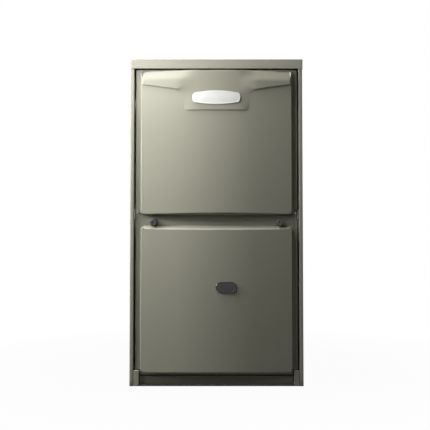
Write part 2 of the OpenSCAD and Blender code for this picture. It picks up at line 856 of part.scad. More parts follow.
module top_cap() {
    color("#9a9a8a")
    difference() {
        union() {
            block([-half_w - sheet_t, half_w + sheet_t], [front_y - sheet_t, back_y + sheet_t],
                  [top_z, cabinet_h]);
            for (y = [front_y - sheet_t, back_y])
                block([-half_w - sheet_t, half_w + sheet_t], [y, y + sheet_t], [lip_z, top_z + eps]);
            for (x = [-half_w - sheet_t, half_w])
                block([x, x + sheet_t], [front_y - sheet_t, back_y + sheet_t], [lip_z, top_z + eps]);
            block([-supply_half - sheet_t, supply_half + sheet_t],
                  [supply_y[0] - sheet_t, supply_y[1] + sheet_t], [top_z - supply_hem, top_z + eps]);
        }
        block([-supply_half, supply_half], supply_y,
              [top_z - supply_hem - over, cabinet_h + over]);
        for (p = [[vent_x, vent_y], [-intake_x, intake_y]])
            rod_z(socket_r + socket_gap, p[0], p[1], [lip_z, cabinet_h + over]);
        for (x = cap_screw_x, y = cap_screw_y) rod_z(screw_shank_r, x, y, [top_z - over, cabinet_h + over]);
    }
}

cap_screw_x = [-half_w + cap_screw_inset, half_w - cap_screw_inset];
cap_screw_y = [front_y + cap_screw_inset + flange_return, (front_y + back_y) / 2,
               back_y - cap_screw_inset - sheet_t];

// Hex washer head screws through the cap.
module cap_screws() {
    color("silver")
    for (x = cap_screw_x, y = cap_screw_y) {
        rod_z(cap_screw_r, x, y, [cabinet_h, cabinet_h + cap_screw_h * 0.35]);
        translate([x, y, cabinet_h]) cylinder(r = cap_screw_r * 0.8, h = cap_screw_h, $fn = 6);
        rod_z(screw_shank_r, x, y, [top_z - screw_l, cabinet_h]);
    }
}

// ---- Base ----

module base_pan() {
    return_y = [front_y + return_front_rim, rear_inner_y - return_rim];
    color("#7c7c6c")
    difference() {
        union() {
            block([-inner_half, inner_half], [pan_front_y + sheet_t, rear_inner_y], [0, sheet_t]);
            pair() block([inner_half - sheet_t, inner_half], [pan_front_y + foot_d, rear_inner_y],
                         [0, pan_flange_h]);
            block([-inner_half, inner_half], [rear_inner_y - sheet_t, rear_inner_y],
                  [0, pan_flange_h]);
        }
        block([-inner_half + return_rim, inner_half - return_rim], return_y, [-1, sheet_t + over]);
    }
}

module base_rail() {
    span = [-foot_inner + door_clear, foot_inner - door_clear];
    color("#5a5a4a") {
        block(span, [pan_front_y, pan_front_y + sheet_t], [0, rail_h]);
        block(span, [pan_front_y, pan_front_y + rail_d], [rail_h - sheet_t, rail_h]);
        block(span, [pan_front_y, pan_front_y + rail_d], [sheet_t, 2 * sheet_t]);
    }
}

module corner_feet() {
    color("#7c7c6c") pair() {
        block([-opening_half, -foot_inner], [front_y, front_y + sheet_t], [0, foot_h]);
        block([-opening_half, -opening_half + sheet_t], [front_y, pan_front_y + sheet_t],
              [0, foot_h]);
        block([-opening_half, -opening_half + sheet_t], [front_y, front_y + foot_d],
              [sheet_t, foot_h]);
        block([-opening_half, -foot_inner], [front_y, pan_front_y + sheet_t], [0, sheet_t]);
        block([-opening_half, -foot_inner], [front_y, front_y + door_recess + foot_lap],
              [foot_h - sheet_t, foot_h]);
    }
}

module door_rest_tabs() {
    tab_y = [front_y + tab_set, deck_lip_y];
    color("#a0a090") pair() {
        block([-opening_half, -tab_inner], [tab_y[0], tab_y[0] + sheet_t], tab_z);
        block([-opening_half, -opening_half + sheet_t], tab_y, tab_z);
        block([-opening_half, -tab_inner], tab_y, [tab_z[1] - sheet_t, tab_z[1]]);
    }
}

// ---- Deck and vestibule ----

module blower_deck() {
    lip = [deck_under_z + sheet_t - deck_flange_h, deck_z];
    slot_half = max(bar_w / 2, stud_r) + bar_clear;
    color("#b4b4ac")
    difference() {
        union() {
            block([-inner_half, inner_half], [front_y + flange_return + over, rear_inner_y],
                  [deck_under_z, deck_z]);
            block([-deck_lip_half, deck_lip_half], [deck_lip_y, deck_lip_y + sheet_t], lip);
            block([-deck_lip_half, deck_lip_half], [deck_lip_y, front_y + flange_return + 2 * over],
                  [deck_under_z, deck_z]);
        }
        block([-housing_half + plate_t, housing_half - plate_t],
              [outlet_y[0] + plate_t, outlet_y[1] - plate_t], [deck_under_z - over, deck_z + over]);
        for (s = [-1, 1])
            block([s * knob_x - bar_l / 2 - bar_clear, s * knob_x + bar_l / 2 + bar_clear],
                  [deck_lip_y - over, deck_lip_y + sheet_t + over],
                  [knob_z - slot_half, knob_z + slot_half]);
        rod_y(plunger_r + plunger_clear, 0, [deck_lip_y - over, deck_lip_y + sheet_t + over],
              switch_mid);
        rod_z(loom_r + loom_clear, loom_x, loom_y, [deck_under_z - over, deck_z + over]);
    }
}

module vestibule_panel() {
    color("#b4b4ac")
    difference() {
        block([-inner_half, inner_half], [vestibule_y, hot_y], [deck_z, top_z]);
        for (x = burner_x) rod_y(port_r, x, [vestibule_y - over, hot_y + over], burner_z);
        block([-header_half + lap, header_half - lap], [vestibule_y - over, hot_y + over],
              [coil_z[0] + lap, coil_z[1] - lap]);
    }
}

module insulation_liner() {
    liner_z = [deck_z, top_z - supply_hem - over];
    color("#c8ccd0") {
        for (s = [[-inner_half, -liner_half], [liner_half, inner_half]])
            block(s, [hot_y, rear_inner_y], liner_z);
        block([-liner_half, liner_half], [rear_inner_y - liner_t, rear_inner_y], liner_z);
    }
}

// ---- Burners and gas train ----

module burner_box() {
    color("#a8a8a0")
    difference() {
        block([-burner_box_half, burner_box_half], [burner_box_y, vestibule_y], burner_box_z);
        block([-burner_box_half + sheet_t, burner_box_half - sheet_t],
              [burner_box_y + sheet_t, rack_y],
              [burner_box_z[0] + sheet_t, burner_box_z[1] - sheet_t]);
        block([-burner_box_half + sheet_t, burner_box_half - sheet_t],
              [rack_y + sheet_t, vestibule_y + over],
              [burner_box_z[0] + sheet_t, burner_box_z[1] - sheet_t]);
        for (x = burner_x) {
            rod_y(orifice_r + over, x, [burner_box_y - over, burner_box_y + sheet_t + over], burner_z);
            rod_y(burner_throat_r + burner_wall + rack_clear, x, [rack_y - over, rack_y + sheet_t + over],
                  burner_z);
        }
        rod_z(vent_r - vent_wall, -intake_x, intake_y,
              [burner_box_z[1] - sheet_t - over, burner_box_z[1] + over]);
    }
}

// In-shot burner: bell at the gas end, throat, then the flame head.
module burner(i) {
    l = burner_l;
    t = burner_throat_r;
    h = burner_head_r;
    w = burner_wall;
    color("#8c9096")
    translate([burner_x[i - 1], burner_y[0], burner_z]) rotate([-90, 0, 0])
    rotate_extrude() polygon([
        [h - w, 0], [h, 0], [t + w, l * 0.25], [t + w, l * 0.62],
        [h, l * 0.78], [h, l], [h - w, l], [h - w, l * 0.78],
        [t, l * 0.62], [t, l * 0.25]]);
}

module gas_manifold() {
    ends = [valve_x[1], manifold_end_x];
    color("#4a4d50")
    difference() {
        union() {
            rod_x(manifold_r, ends, manifold_y, burner_z);
            for (i = [0:section_count - 2]) manifold_bracket((burner_x[i] + burner_x[i + 1]) / 2);
        }
        rod_x(manifold_r - manifold_wall, [ends[0] - over, ends[1] - cap_wall], manifold_y, burner_z);
        for (x = burner_x)
            rod_y(orifice_r * 0.6, x, [manifold_y, manifold_y + manifold_r + over], burner_z);
    }
}

// Bracket from the top of the manifold to the front of the burner box.
module manifold_bracket(x) {
    span = [x - bracket_w / 2, x + bracket_w / 2];
    top = burner_z + manifold_r;
    block(span, [manifold_y, burner_box_y], [top - manifold_wall / 2, top + bracket_t]);
    block(span, [burner_box_y - bracket_t, burner_box_y], [top - 2 * bracket_w, top + bracket_w / 2]);
}

module gas_orifices() {
    color("goldenrod")
    for (x = burner_x)
        difference() {
            union() {
                rod_y(orifice_r * 0.6, x, [manifold_y + spud_seat, manifold_y + manifold_r + over],
                      burner_z);
                translate([x, manifold_y + manifold_r, burner_z]) rotate([-90, 0, 0])
                    cylinder(r = orifice_r, h = orifice_l * 0.6, $fn = 6);
                rod_y(orifice_r * 0.7, x, [manifold_y + manifold_r, manifold_y + manifold_r + orifice_l],
                      burner_z);
            }
            rod_y(orifice_r * 0.2, x, [manifold_y + spud_seat - over,
                  manifold_y + manifold_r + orifice_l + 1], burner_z);
        }
}

module gas_valve() {
    y = [valve_y, valve_y + valve_d];
    z = [burner_z - valve_h / 2, burner_z + valve_h / 2];
    color("#9ea2a6")
    difference() {
        union() {
            block(valve_x, [y[0] + valve_front, y[1]], z);
            block([valve_x[0] + valve_step, valve_x[1] - valve_step], y,
                  [z[0] + valve_step, z[1] - valve_step]);
            rod_x(manifold_r + union_wall, [valve_x[0] - union_wall, valve_x[1] - eps], manifold_y,
                  burner_z);
            rod_z(valve_port[0], valve_knob_x, manifold_y, [z[0] - valve_port[1], z[0] + over]);
        }
        rod_x(gas_thread_r, [valve_x[0] - union_wall - over, valve_x[0] - union_wall + gas_thread_l],
              manifold_y, burner_z);
        rod_y(switch_shaft_r + shaft_clear, valve_knob_x, [y[0] - over, y[0] + switch_shaft_l + over],
              valve_knob_z);
    }
}

module gas_valve_knob() {
    base = valve_y - knob_gap;
    color("#1d1f22")
    union() {
        rod_y(switch_shaft_r, valve_knob_x, [base - over, valve_y + switch_shaft_l], valve_knob_z);
        rod_y(valve_knob_r, valve_knob_x, [base - valve_knob_h * 0.5, base], valve_knob_z);
        block([valve_knob_x - valve_knob_r * 0.9, valve_knob_x + valve_knob_r * 0.9],
              [base - valve_knob_h, base - valve_knob_h * 0.4],
              [valve_knob_z - grip_t / 2, valve_knob_z + grip_t / 2]);
    }
}

// Hot surface igniter: bracket on the burner box's right wall, ceramic body and element.
module igniter() {
    x1 = burner_box_half - sheet_t;
    x2 = x1 - igniter_plate[0] - igniter_body[0];
    y = vestibule_y - flame_gap / 2;
    color("#e4ddd0") {
        bar([x1 - igniter_plate[0], x1], y, burner_z, igniter_plate);
        bar([x2, x1 - igniter_plate[0]], y, burner_z, igniter_body);
        bar([burner_x[section_count - 1] + igniter_reach, x2], y, burner_z, igniter_element);
    }
}

// A bar along X with the width and height of size, round a line through y and z.
module bar(x, y, z, size) {
    block(x, [y - size[1] / 2, y + size[1] / 2], [z - size[2] / 2, z + size[2] / 2]);
}

// Flame sensor: bracket on the left wall, ceramic bush and rod across the first flame.
module flame_sensor() {
    x0 = -burner_box_half + sheet_t;
    x1 = x0 + sensor_plate[0];
    y = vestibule_y - flame_gap / 2;
    color("#d8d4c8") {
        bar([x0, x1], y, burner_z, sensor_plate);
        rod_x(sensor_bush[0], [x1, x1 + sensor_bush[1]], y, burner_z);
        rod_x(sensor_rod_r, [x1 + sensor_bush[1], burner_x[0] - igniter_reach], y, burner_z);
    }
}

module rollout_switch() {
    color("#2b2b2b")
    difference() {
        union() {
            block([rollout_x - rollout_plate / 2, rollout_x + rollout_plate / 2],
                  [intake_y - rollout_plate / 6, intake_y + rollout_plate / 6],
                  [burner_box_z[1], burner_box_z[1] + sheet_t]);
            rod_z(rollout_r, rollout_x, intake_y, [burner_box_z[1], burner_box_z[1] + rollout_h]);
        }
        rod_z(reset_r + plunger_clear, rollout_x, intake_y,
              [burner_box_z[1] + rollout_h * 0.4, burner_box_z[1] + rollout_h + over]);
    }
}

module rollout_button() {
    color("#b3261e")
    rod_z(reset_r, rollout_x, intake_y,
          [burner_box_z[1] + rollout_h * 0.4 + reset_travel + knob_gap,
           burner_box_z[1] + rollout_h + reset_h]);
}

// ---- Heat exchanger ----

// The gas path of one section: three passes joined by two turns. grow widens or narrows it.
module gas_path(grow) {
    y_turn = [hot_y + turn_r + turn_gap, collector_y[0] - turn_r - turn_gap];
    h = pass_h + 2 * grow;
    union() {
        translate([hot_y - 1, pass_z[0] - h / 2]) square([y_turn[1] - hot_y + 1, h]);
        translate([y_turn[0], pass_z[1] - h / 2]) square([y_turn[1] - y_turn[0], h]);
        translate([y_turn[0], pass_z[2] - h / 2]) square([collector_y[0] - y_turn[0] + 1, h]);
        turn(y_turn[1], (pass_z[0] + pass_z[1]) / 2, 1, grow);
        turn(y_turn[0], (pass_z[1] + pass_z[2]) / 2, -1, grow);
    }
}

module turn(y, z, side, grow) {
    r = turn_r + grow;
    translate([y, z]) difference() {
        intersection() {
            circle(r);
            translate([side > 0 ? 0 : -r, -r]) square([r, 2 * r]);
        }
        circle((pass_pitch - pass_h) / 2 - grow);
    }
}

module heat_exchanger(i) {
    x = burner_x[i - 1];
    color("#a9998a")
    difference() {
        intersection() {
            union() {
                sideways([x - hx_t / 2, x + hx_t / 2]) gas_path(0);
                sideways([x - web_t / 2, x + web_t / 2])
                    translate([hot_y, pass_z[2] - pass_h / 2 - web_rim])
                        square([hx_d, 2 * pass_pitch + pass_h + 2 * web_rim]);
            }
            block([x - hx_t, x + hx_t], [hot_y, collector_y[0]], [deck_z, top_z]);
        }
        sideways([x - hx_t / 2 + hx_wall, x + hx_t / 2 - hx_wall]) gas_path(-hx_wall);
    }
}

// Secondary coil: two rows of finned tubes between side plates that stand on the deck, and
// the rear collector that the primary sections empty into.
module condensing_coil() {
    y = [hot_y, collector_y[0]];
    half = coil_half - coil_plate_t;
    collector_top = pass_z[2] + pass_h / 2 + collector_rim;
    fin_pitch = (y[1] - y[0] - fin_t) / (fin_count - 1);
    tube_pitch = 2 * half / tube_count;
    color("#c2c6ca") {
        difference() {
            union() {
                for (i = [0:fin_count - 1])
                    block([-half - eps, half + eps],
                          [y[0] + i * fin_pitch, y[0] + i * fin_pitch + fin_t], coil_z);
                coil_tubes(tube_r, y, tube_pitch);
                pair() block([half, coil_half], y, [deck_z, coil_z[1]]);
            }
            coil_tubes(tube_r - tube_wall, [y[0] - over, y[1] + over], tube_pitch);
        }
        difference() {
            block([-coil_half, coil_half], collector_y, [coil_z[0], collector_top]);
            block([-coil_half + hx_wall, coil_half - hx_wall],
                  [collector_y[0] + hx_wall, collector_y[1] - hx_wall],
                  [coil_z[0] + hx_wall, collector_top - hx_wall]);
            for (x = burner_x)
                block([x - hx_t / 2 + hx_wall, x + hx_t / 2 - hx_wall],
                      [collector_y[0] - over, collector_y[0] + hx_wall + over],
                      [pass_z[2] - pass_h / 2 + hx_wall, pass_z[2] + pass_h / 2 - hx_wall]);
        }
    }
}

module coil_tubes(r, y, pitch) {
    for (i = [0:tube_count - 1], row = tube_rows)
        rod_y(r, (i - (tube_count - 1) / 2) * pitch, y, coil_z[0] + coil_h * row);
}

module cold_end_header() {
    z = coil_z;
    color("#2e3033")
    difference() {
        union() {
            block([-header_half, header_half], [header_y, vestibule_y], z);
            rod_x(drain_bore + header_wall, [trap_x[1], -header_half + over], trap_y, z[0] + header_drain);
        }
        block([-header_half + header_wall, header_half - header_wall],
              [header_y + header_wall, vestibule_y + over], [z[0] + header_wall, z[1] - header_wall]);
        rod_y(inducer_inlet_r * 0.8, inducer_x, [header_y - over, header_y + header_wall + over], inlet_z);
        rod_x(drain_bore, [trap_x[1] - over, -header_half + header_wall + over], trap_y,
              z[0] + header_drain);
        rod_y(hose_r - hose_wall, -header_tap_x, [header_y - over, header_y + header_wall + over],
              header_tap_z);
    }
}

inlet_z = coil_z[1] - inducer_inlet_r * 0.8 - header_rim;
header_tap_z = coil_z[1] - header_tap_drop;

// ---- Inducer and vent ----

module inducer_outline(grow) {
    union() {
        translate([inducer_x, inducer_z]) circle(inducer_r + grow);
        translate([vent_x - vent_r - over - grow, inducer_z])
            square([2 * (vent_r + over + grow), inducer_r + grow]);
    }
}

module inducer_housing() {
    color("#26282b")
    difference() {
        union() {
            upright([inducer_y, header_y]) inducer_outline(0);
            rod_z(vent_r, vent_x, vent_y, [elbow_z - over, elbow_z + outlet_l]);
            scroll_lugs();
        }
        upright([inducer_y + inducer_wall, header_y - inducer_wall]) inducer_outline(-inducer_wall);
        rod_z(vent_r - vent_wall, vent_x, vent_y,
              [elbow_z - inducer_wall - over, elbow_z + outlet_l + over]);
        rod_y(inducer_shaft_r + shaft_room, inducer_x, [inducer_y - over, inducer_y + inducer_wall + over],
              inducer_z);
        rod_y(inducer_inlet_r * 0.8, inducer_x, [header_y - inducer_wall - over, header_y + over], inlet_z);
    }
}

// Three screw lugs round the scroll.
module scroll_lugs() {
    for (a = [150, 210, 280])
        translate([inducer_x, header_y, inducer_z]) rotate([0, -a, 0])
            block([inducer_r - lug[0] / 2, inducer_r + lug[0]], [-lug[2], 0], [-lug[1] / 2, lug[1] / 2]);
}

module inducer_motor() {
    ends = [inducer_motor_y, inducer_y];
    color("#3a3d41")
    difference() {
        union() {
            rod_y(inducer_motor_r, inducer_x, [ends[0] + motor_nose, ends[1] - motor_stud_l], inducer_z);
            rod_y(inducer_motor_r * 0.55, inducer_x, [ends[0], ends[0] + motor_nose + over], inducer_z);
            for (a = [45:90:315])
                translate([inducer_x, 0, inducer_z]) rotate([0, -a, 0])
                    rod_y(motor_stud_r, inducer_motor_r - 2 * motor_stud_r,
                          [ends[1] - motor_stud_l - over, ends[1]], 0);
        }
        rod_y(inducer_shaft_r + shaft_clear, inducer_x, [ends[0] - over, ends[1]], inducer_z);
    }
}

// Shaft with the small cooling fan that spins in front of the motor.
module inducer_shaft() {
    fan_y = [inducer_motor_y - fan[0] - fan[2], inducer_motor_y - fan[2]];
    color("#9aa0a6")
    union() {
        rod_y(inducer_shaft_r, inducer_x, [fan_y[0] - 2 * over, inducer_wheel_y + inducer_wheel_w],
              inducer_z);
        rod_y(2 * inducer_shaft_r, inducer_x, fan_y, inducer_z);
        for (i = [0:fan_blade[0] - 1])
            translate([inducer_x, fan_y[0] + over, inducer_z]) rotate([0, -i * 360 / fan_blade[0], 0])
                rotate([fan_blade[3], 0, 0]) translate([inducer_shaft_r, 0, -fan_blade[2] / 2])
                    cube([fan[1] - inducer_shaft_r, fan_blade[1], fan_blade[2]]);
    }
}

module inducer_wheel() {
    y = [inducer_wheel_y, inducer_wheel_y + inducer_wheel_w];
    color("#1f2124")
    difference() {
        union() {
            rod_y(inducer_wheel_r, inducer_x, [y[0], y[0] + disc_t], inducer_z);
            rod_y(inducer_shaft_r + hub_wall * 0.6, inducer_x, [y[0], y[1] - 2 * disc_t], inducer_z);
            difference() {
                rod_y(inducer_wheel_r, inducer_x, [y[1] - disc_t, y[1]], inducer_z);
                rod_y(inducer_inlet_r, inducer_x, [y[1] - disc_t - over, y[1] + over], inducer_z);
            }
            for (i = [0:inducer_blades - 1])
                translate([inducer_x, 0, inducer_z]) rotate([0, i * 360 / inducer_blades, 0])
                    translate([inducer_inlet_r - blade_run, 0, 0]) rotate([0, blade_lean, 0])
                        block([0, (inducer_wheel_r - inducer_inlet_r) * 1.1], [y[0] + over, y[1] - over],
                              [-disc_t / 2, disc_t / 2]);
        }
        rod_y(inducer_shaft_r, inducer_x, [y[0] - over, y[1] + over], inducer_z);
    }
}

// A pipe that ends in a socket, flush with the top of the cap.
module socket(x, y) {
    difference() {
        rod_z(socket_r, x, y, [socket_z - socket_base, cabinet_h]);
        rod_z(vent_r + socket_clear, x, y, [socket_z, cabinet_h + over]);
        rod_z(vent_r - vent_wall, x, y, [socket_z - socket_base - over, socket_z + over]);
    }
}

module flue_pipe() {
    bottom = elbow_z + outlet_l;
    color("#e8e8e2")
    union() {
        socket(vent_x, vent_y);
        difference() {
            rod_z(vent_r, vent_x, vent_y, [bottom, socket_z - socket_base + over]);
            rod_z(vent_r - vent_wall, vent_x, vent_y, [bottom - over, socket_z]);
        }
    }
}

module air_intake_pipe() {
    color("#e8e8e2")
    union() {
        socket(-intake_x, intake_y);
        difference() {
            rod_z(vent_r, -intake_x, intake_y, [burner_box_z[1], socket_z - socket_base + over]);
            rod_z(vent_r - vent_wall, -intake_x, intake_y, [burner_box_z[1] - over, socket_z]);
        }
    }
}

// ---- Controls in the heating compartment ----

pressure_x = -header_half + header_rim;
pressure_z = coil_z[1] + pressure_r + pressure_rise;
tap_y = vestibule_y - pressure_t - tap_l;

module pressure_switch() {
    color("#5b6167")
    union() {
        rod_y(pressure_r, pressure_x, [vestibule_y - pressure_t, vestibule_y - pressure_plate[0]],
              pressure_z);
        block([pressure_x - pressure_plate[1] / 2, pressure_x + pressure_plate[1] / 2],
              [vestibule_y - pressure_plate[0] - over, vestibule_y],
              [pressure_z - pressure_plate[2] / 2, pressure_z + pressure_plate[2] / 2]);
        rod_y(pressure_r * 0.4, pressure_x,
              [vestibule_y - pressure_t - hose_lap + over, vestibule_y - pressure_t + over], pressure_z);
        rod_y(tap_r, pressure_x, [tap_y - 2 * over, vestibule_y - pressure_t], pressure_z);
    }
}

// Rubber tube from the pressure switch down to the tap on the cold end header.
module pressure_hose() {
    run_y = header_y - hose_bend - 2 * hose_r;
    route = [
        [pressure_x, tap_y + hose_lap, pressure_z],
        [pressure_x, run_y, pressure_z],
        [pressure_x, run_y, header_tap_z],
        [-header_tap_x, run_y, header_tap_z],
        [-header_tap_x, header_y, header_tap_z]];
    color("#202020") tube_route(route, hose_r, hose_r - hose_wall, hose_bend);
}

trap_x = [-inner_half + trap_side, -header_half - trap_reach];
trap_y = vestibule_y - trap_depth / 2 - trap_gap;
drain_z = coil_z[0] + drain_rise;

module condensate_trap() {
    color("#d9dad6")
    difference() {
        union() {
            block(trap_x, [trap_y - trap_depth / 2, trap_y + trap_depth / 2],
                  [deck_z, coil_z[1] - 3 * trap_gap]);
            block([trap_x[0] + trap_gap, trap_x[1] - trap_gap],
                  [trap_y - trap_depth / 2 - trap_lid, trap_y],
                  [deck_z + trap_gap, coil_z[1] - 4 * trap_gap - trap_lid]);
            rod_x(drain_r, [-inner_half + over, trap_x[0] + over], trap_y, drain_z);
            block(trap_x, [trap_y, vestibule_y], [drain_z + trap_lid, drain_z + trap_lid + trap_gap]);
        }
        rod_x(drain_bore, [-inner_half, trap_x[0] + trap_side], trap_y, drain_z);
    }
}

// ---- Blower ----

function scroll_r(a) =
    scroll_start_r + (scroll_end_r - scroll_start_r) * (a - scroll_from) / (scroll_to - scroll_from);

function scroll_points(grow) = concat(
    [[outlet_y[0] - grow, deck_under_z + eps]],
    [for (i = [0:scroll_steps])
        let (a = scroll_from + (scroll_to - scroll_from) * i / scroll_steps, r = scroll_r(a) + grow)
        [min(blower_axis_y + r * cos(a), outlet_y[1] + grow), blower_z + r * sin(a)]],
    [[outlet_y[1] + grow, deck_under_z + eps]]);

module scroll_area(grow) { polygon(scroll_points(grow)); }

module blower_scroll() {
    x = [-housing_half + plate_t, housing_half - plate_t];
    color("#b9bdc0")
    difference() {
        sideways(x) scroll_area(0);
        sideways([x[0] - over, x[1] + over]) scroll_area(-sheet_t);
        block([x[0] - over, x[1] + over], [front_y, back_y], [deck_under_z, deck_z + over]);
    }
}

// One side of the housing with its rolled inlet ring.
module blower_side() {
    ring_end = wheel_w / 2 + inlet_wall;
    color("#b9bdc0")
    difference() {
        union() {
            intersection() {
                sideways([housing_half - plate_t, housing_half]) scroll_area(plate_rim);
                block([0, half_w], [front_y, back_y], [0, deck_under_z]);
            }
            translate([0, blower_axis_y, blower_z]) rotate([0, 90, 0]) rotate_extrude()
                polygon([[inlet_r, ring_end], [inlet_r + inlet_wall, ring_end],
                         [inlet_r + 2 * inlet_wall, housing_half - plate_t],
                         [inlet_r + inlet_flare, housing_half],
                         [inlet_r + inlet_flare, housing_half + plate_rim],
                         [inlet_r + inlet_flare - 2 * plate_rim, housing_half + plate_rim],
                         [inlet_r + inlet_wall, housing_half - plate_t]]);
        }
        rod_x(inlet_r, [wheel_w / 2, housing_half + 2 * plate_rim], blower_axis_y, blower_z);
    }
}

module blower_side_right() { blower_side(); }

module blower_side_left() { mirror([1, 0, 0]) blower_side(); }

module blower_motor() {
    x = motor_x;
    color("#2f3338")
    difference() {
        union() {
            rod_x(motor_r, [x[0] + bell_l, x[1] - bell_l], blower_axis_y, blower_z);
            rod_x(motor_r * 0.86, x, blower_axis_y, blower_z);
            rod_x(motor_r * 0.3, [x[0] - boss_l, x[1] + boss_l], blower_axis_y, blower_z);
        }
        rod_x(shaft_r + shaft_clear, [x[0] - boss_l - over, x[1] + boss_l + over], blower_axis_y,
              blower_z);
    }
}

mount_x = [-housing_half - band_gap - band_w, -housing_half - band_gap];

// Belly band round the motor with three arms to the housing's left side.
module motor_mount() {
    color("#8a8d90")
    difference() {
        union() {
            rod_x(motor_r + band_t, mount_x, blower_axis_y, blower_z);
            for (a = [30, 150, 270])
                translate([0, blower_axis_y, blower_z]) rotate([a, 0, 0]) {
                    block([mount_x[0] + band_t, mount_x[1] - band_t], [-arm[0] / 2, arm[0] / 2],
                          [motor_r, inlet_r + arm[0] + arm[1]]);
                    block([mount_x[0] + band_t, -housing_half], [-arm[0] / 2, arm[0] / 2],
                          [inlet_r + arm[0], inlet_r + arm[0] + arm[1]]);
                }
        }
        rod_x(motor_r, [mount_x[0] - over, mount_x[1] + over], blower_axis_y, blower_z);
    }
}

module blower_shaft() {
    color("#c9ccce")
    rod_x(shaft_r, [motor_x[0] - shaft_out, hub_x[1] + shaft_out / 2], blower_axis_y, blower_z);
}

module blower_wheel() {
    half = wheel_w / 2;
    color("#aeb2b5")
    difference() {
        union() {
            for (x = [[-half, -half + ring_w], [half - ring_w, half]])
                difference() {
                    rod_x(wheel_r, x, blower_axis_y, blower_z);
                    rod_x(blade_in_r, [x[0] - over, x[1] + over], blower_axis_y, blower_z);
                }
            rod_x(wheel_r - over, [web_x - disc_t / 2, web_x + disc_t / 2], blower_axis_y, blower_z);
            rod_x(hub_r, hub_x, blower_axis_y, blower_z);
            for (i = [0:wheel_blades - 1])
                translate([0, blower_axis_y, blower_z]) rotate([i * 360 / wheel_blades, 0, 0])
                    translate([0, blade_in_r + 2 * blade_t, 0]) rotate([wheel_lean, 0, 0])
                        block([-half + over, half - over], [0, blade_d * 0.72],
                              [-blade_t / 2, blade_t / 2]);
        }
        rod_x(shaft_r, [hub_x[0] - over, hub_x[1] + over], blower_axis_y, blower_z);
    }
}

module run_capacitor() {
    x = housing_half + capacitor_r + inlet_wall;
    y = outlet_y[1] - capacitor_r - capacitor_set;
    z = [deck_under_z - capacitor_l - capacitor_drop, deck_under_z - capacitor_drop];
    color("#b0b4b8") union() {
        rod_z(capacitor_r, x, y, z);
        block([housing_half, x + capacitor_r + sheet_t], [y - capacitor_r / 2, y + capacitor_r / 2],
              [z[1] - 2 * strap_w - over, z[1] - strap_w - over]);
        for (s = [-1, 1])
            translate([x, y + s * capacitor_r * 0.4, z[1] - over])
                linear_extrude(capacitor_blade[2]) square([capacitor_blade[0], capacitor_blade[1]], true);
    }
}

// ---- Controls in the blower compartment ----

module control_tray() {
    y = [tray_face_y, tray_face_y + sheet_t];
    color("#b4b4ac")
    union() {
        block(tray_x, y, tray_z);
        block(tray_x, [tray_face_y - tray_flange, tray_face_y + sheet_t],
              [tray_z[0], tray_z[0] + sheet_t]);
        for (x = [tray_x[0], tray_x[1] - sheet_t])
            block([x, x + sheet_t], [tray_face_y - tray_flange, tray_face_y + sheet_t], tray_z);
        block(tray_x, [tray_face_y, tray_face_y + tray_flange], [tray_z[1] - sheet_t, tray_z[1]]);
    }
}

// Circuit board on four standoffs, with relays, a terminal row, the display and fuses.
module control_board() {
    x = [board_x - board_w / 2, board_x + board_w / 2];
    z = [board_z - board_h / 2, board_z + board_h / 2];
    color("#2f6b3f")
    union() {
        block(x, [board_y, board_y + board_t], z);
        for (cx = [x[0] + standoff_inset, x[1] - standoff_inset],
             cz = [z[0] + standoff_inset, z[1] - standoff_inset])
            rod_y(standoff_r, cx, [board_y + board_t - eps, tray_face_y], cz);
        for (i = [0:2])
            on_board([x[0] + 2 * standoff_inset + i * (relay[0] + standoff_inset), z[1] - relay_drop], relay);
        on_board([x[0] + 2 * standoff_inset, z[0] + standoff_inset], terminals);
        on_board([sight_x - display[0] / 2, sight_z - display[2] / 2], display);
        for (i = [0:3])
            on_board([x[0] + standoff_inset + i * 1.5 * fuse[0], board_z - 3 * fuse[2]], fuse);
    }
}

// A block of the given width, height off the board and height up it, with its lower left corner at p.
module on_board(p, size) {
    block([p[0], p[0] + size[0]], [board_y - size[1], board_y + eps], [p[1], p[1] + size[2]]);
}

module transformer() {
    x0 = tray_x[0] + tray_inset;
    z0 = tray_z[0] + transformer_rise;
    w = transformer_w;
    foot = tray_inset * 0.75;
    color("#50463c")
    union() {
        block([x0, x0 + w], [tray_face_y - w * 0.62, tray_face_y - foot / 2], [z0, z0 + w]);
        block([x0 + w * 0.2, x0 + w * 0.8], [tray_face_y - w * 0.75, tray_face_y - w * 0.1],
              [z0 + w * 0.12, z0 + w * 0.88]);
        block([x0 - foot, x0 + w + foot], [tray_face_y - foot * 0.6, tray_face_y],
              [z0 + w * 0.3, z0 + w * 0.7]);
    }
}

module door_switch() {
    half = switch_body[0] / 2;
    color("#1d1f22")
    difference() {
        union() {
            block([-half, half], switch_y, switch_z);
            block([-half - switch_ear, half + switch_ear], [switch_y[0], switch_y[0] + disc_t],
                  [switch_z[0] + disc_t, switch_z[1] - disc_t]);
            for (x = [-1, 0, 1] * switch_blade[0] * 1.6)
                block([x - switch_blade[0] / 2, x + switch_blade[0] / 2],
                      [switch_y[1] - over, switch_y[1] + switch_blade[1]],
                      [switch_mid - switch_blade[2] / 2, switch_mid + switch_blade[2] / 2]);
        }
        rod_y(plunger_r + plunger_clear, 0, [switch_y[0] - over, switch_y[0] + plunger_l + 2 * over],
              switch_mid);
    }
}

module door_switch_plunger() {
    color("#d6d6cf")
    rod_y(plunger_r, 0, [door_back_y + knob_gap, switch_y[0] + plunger_l - plunger_travel], switch_mid);
}

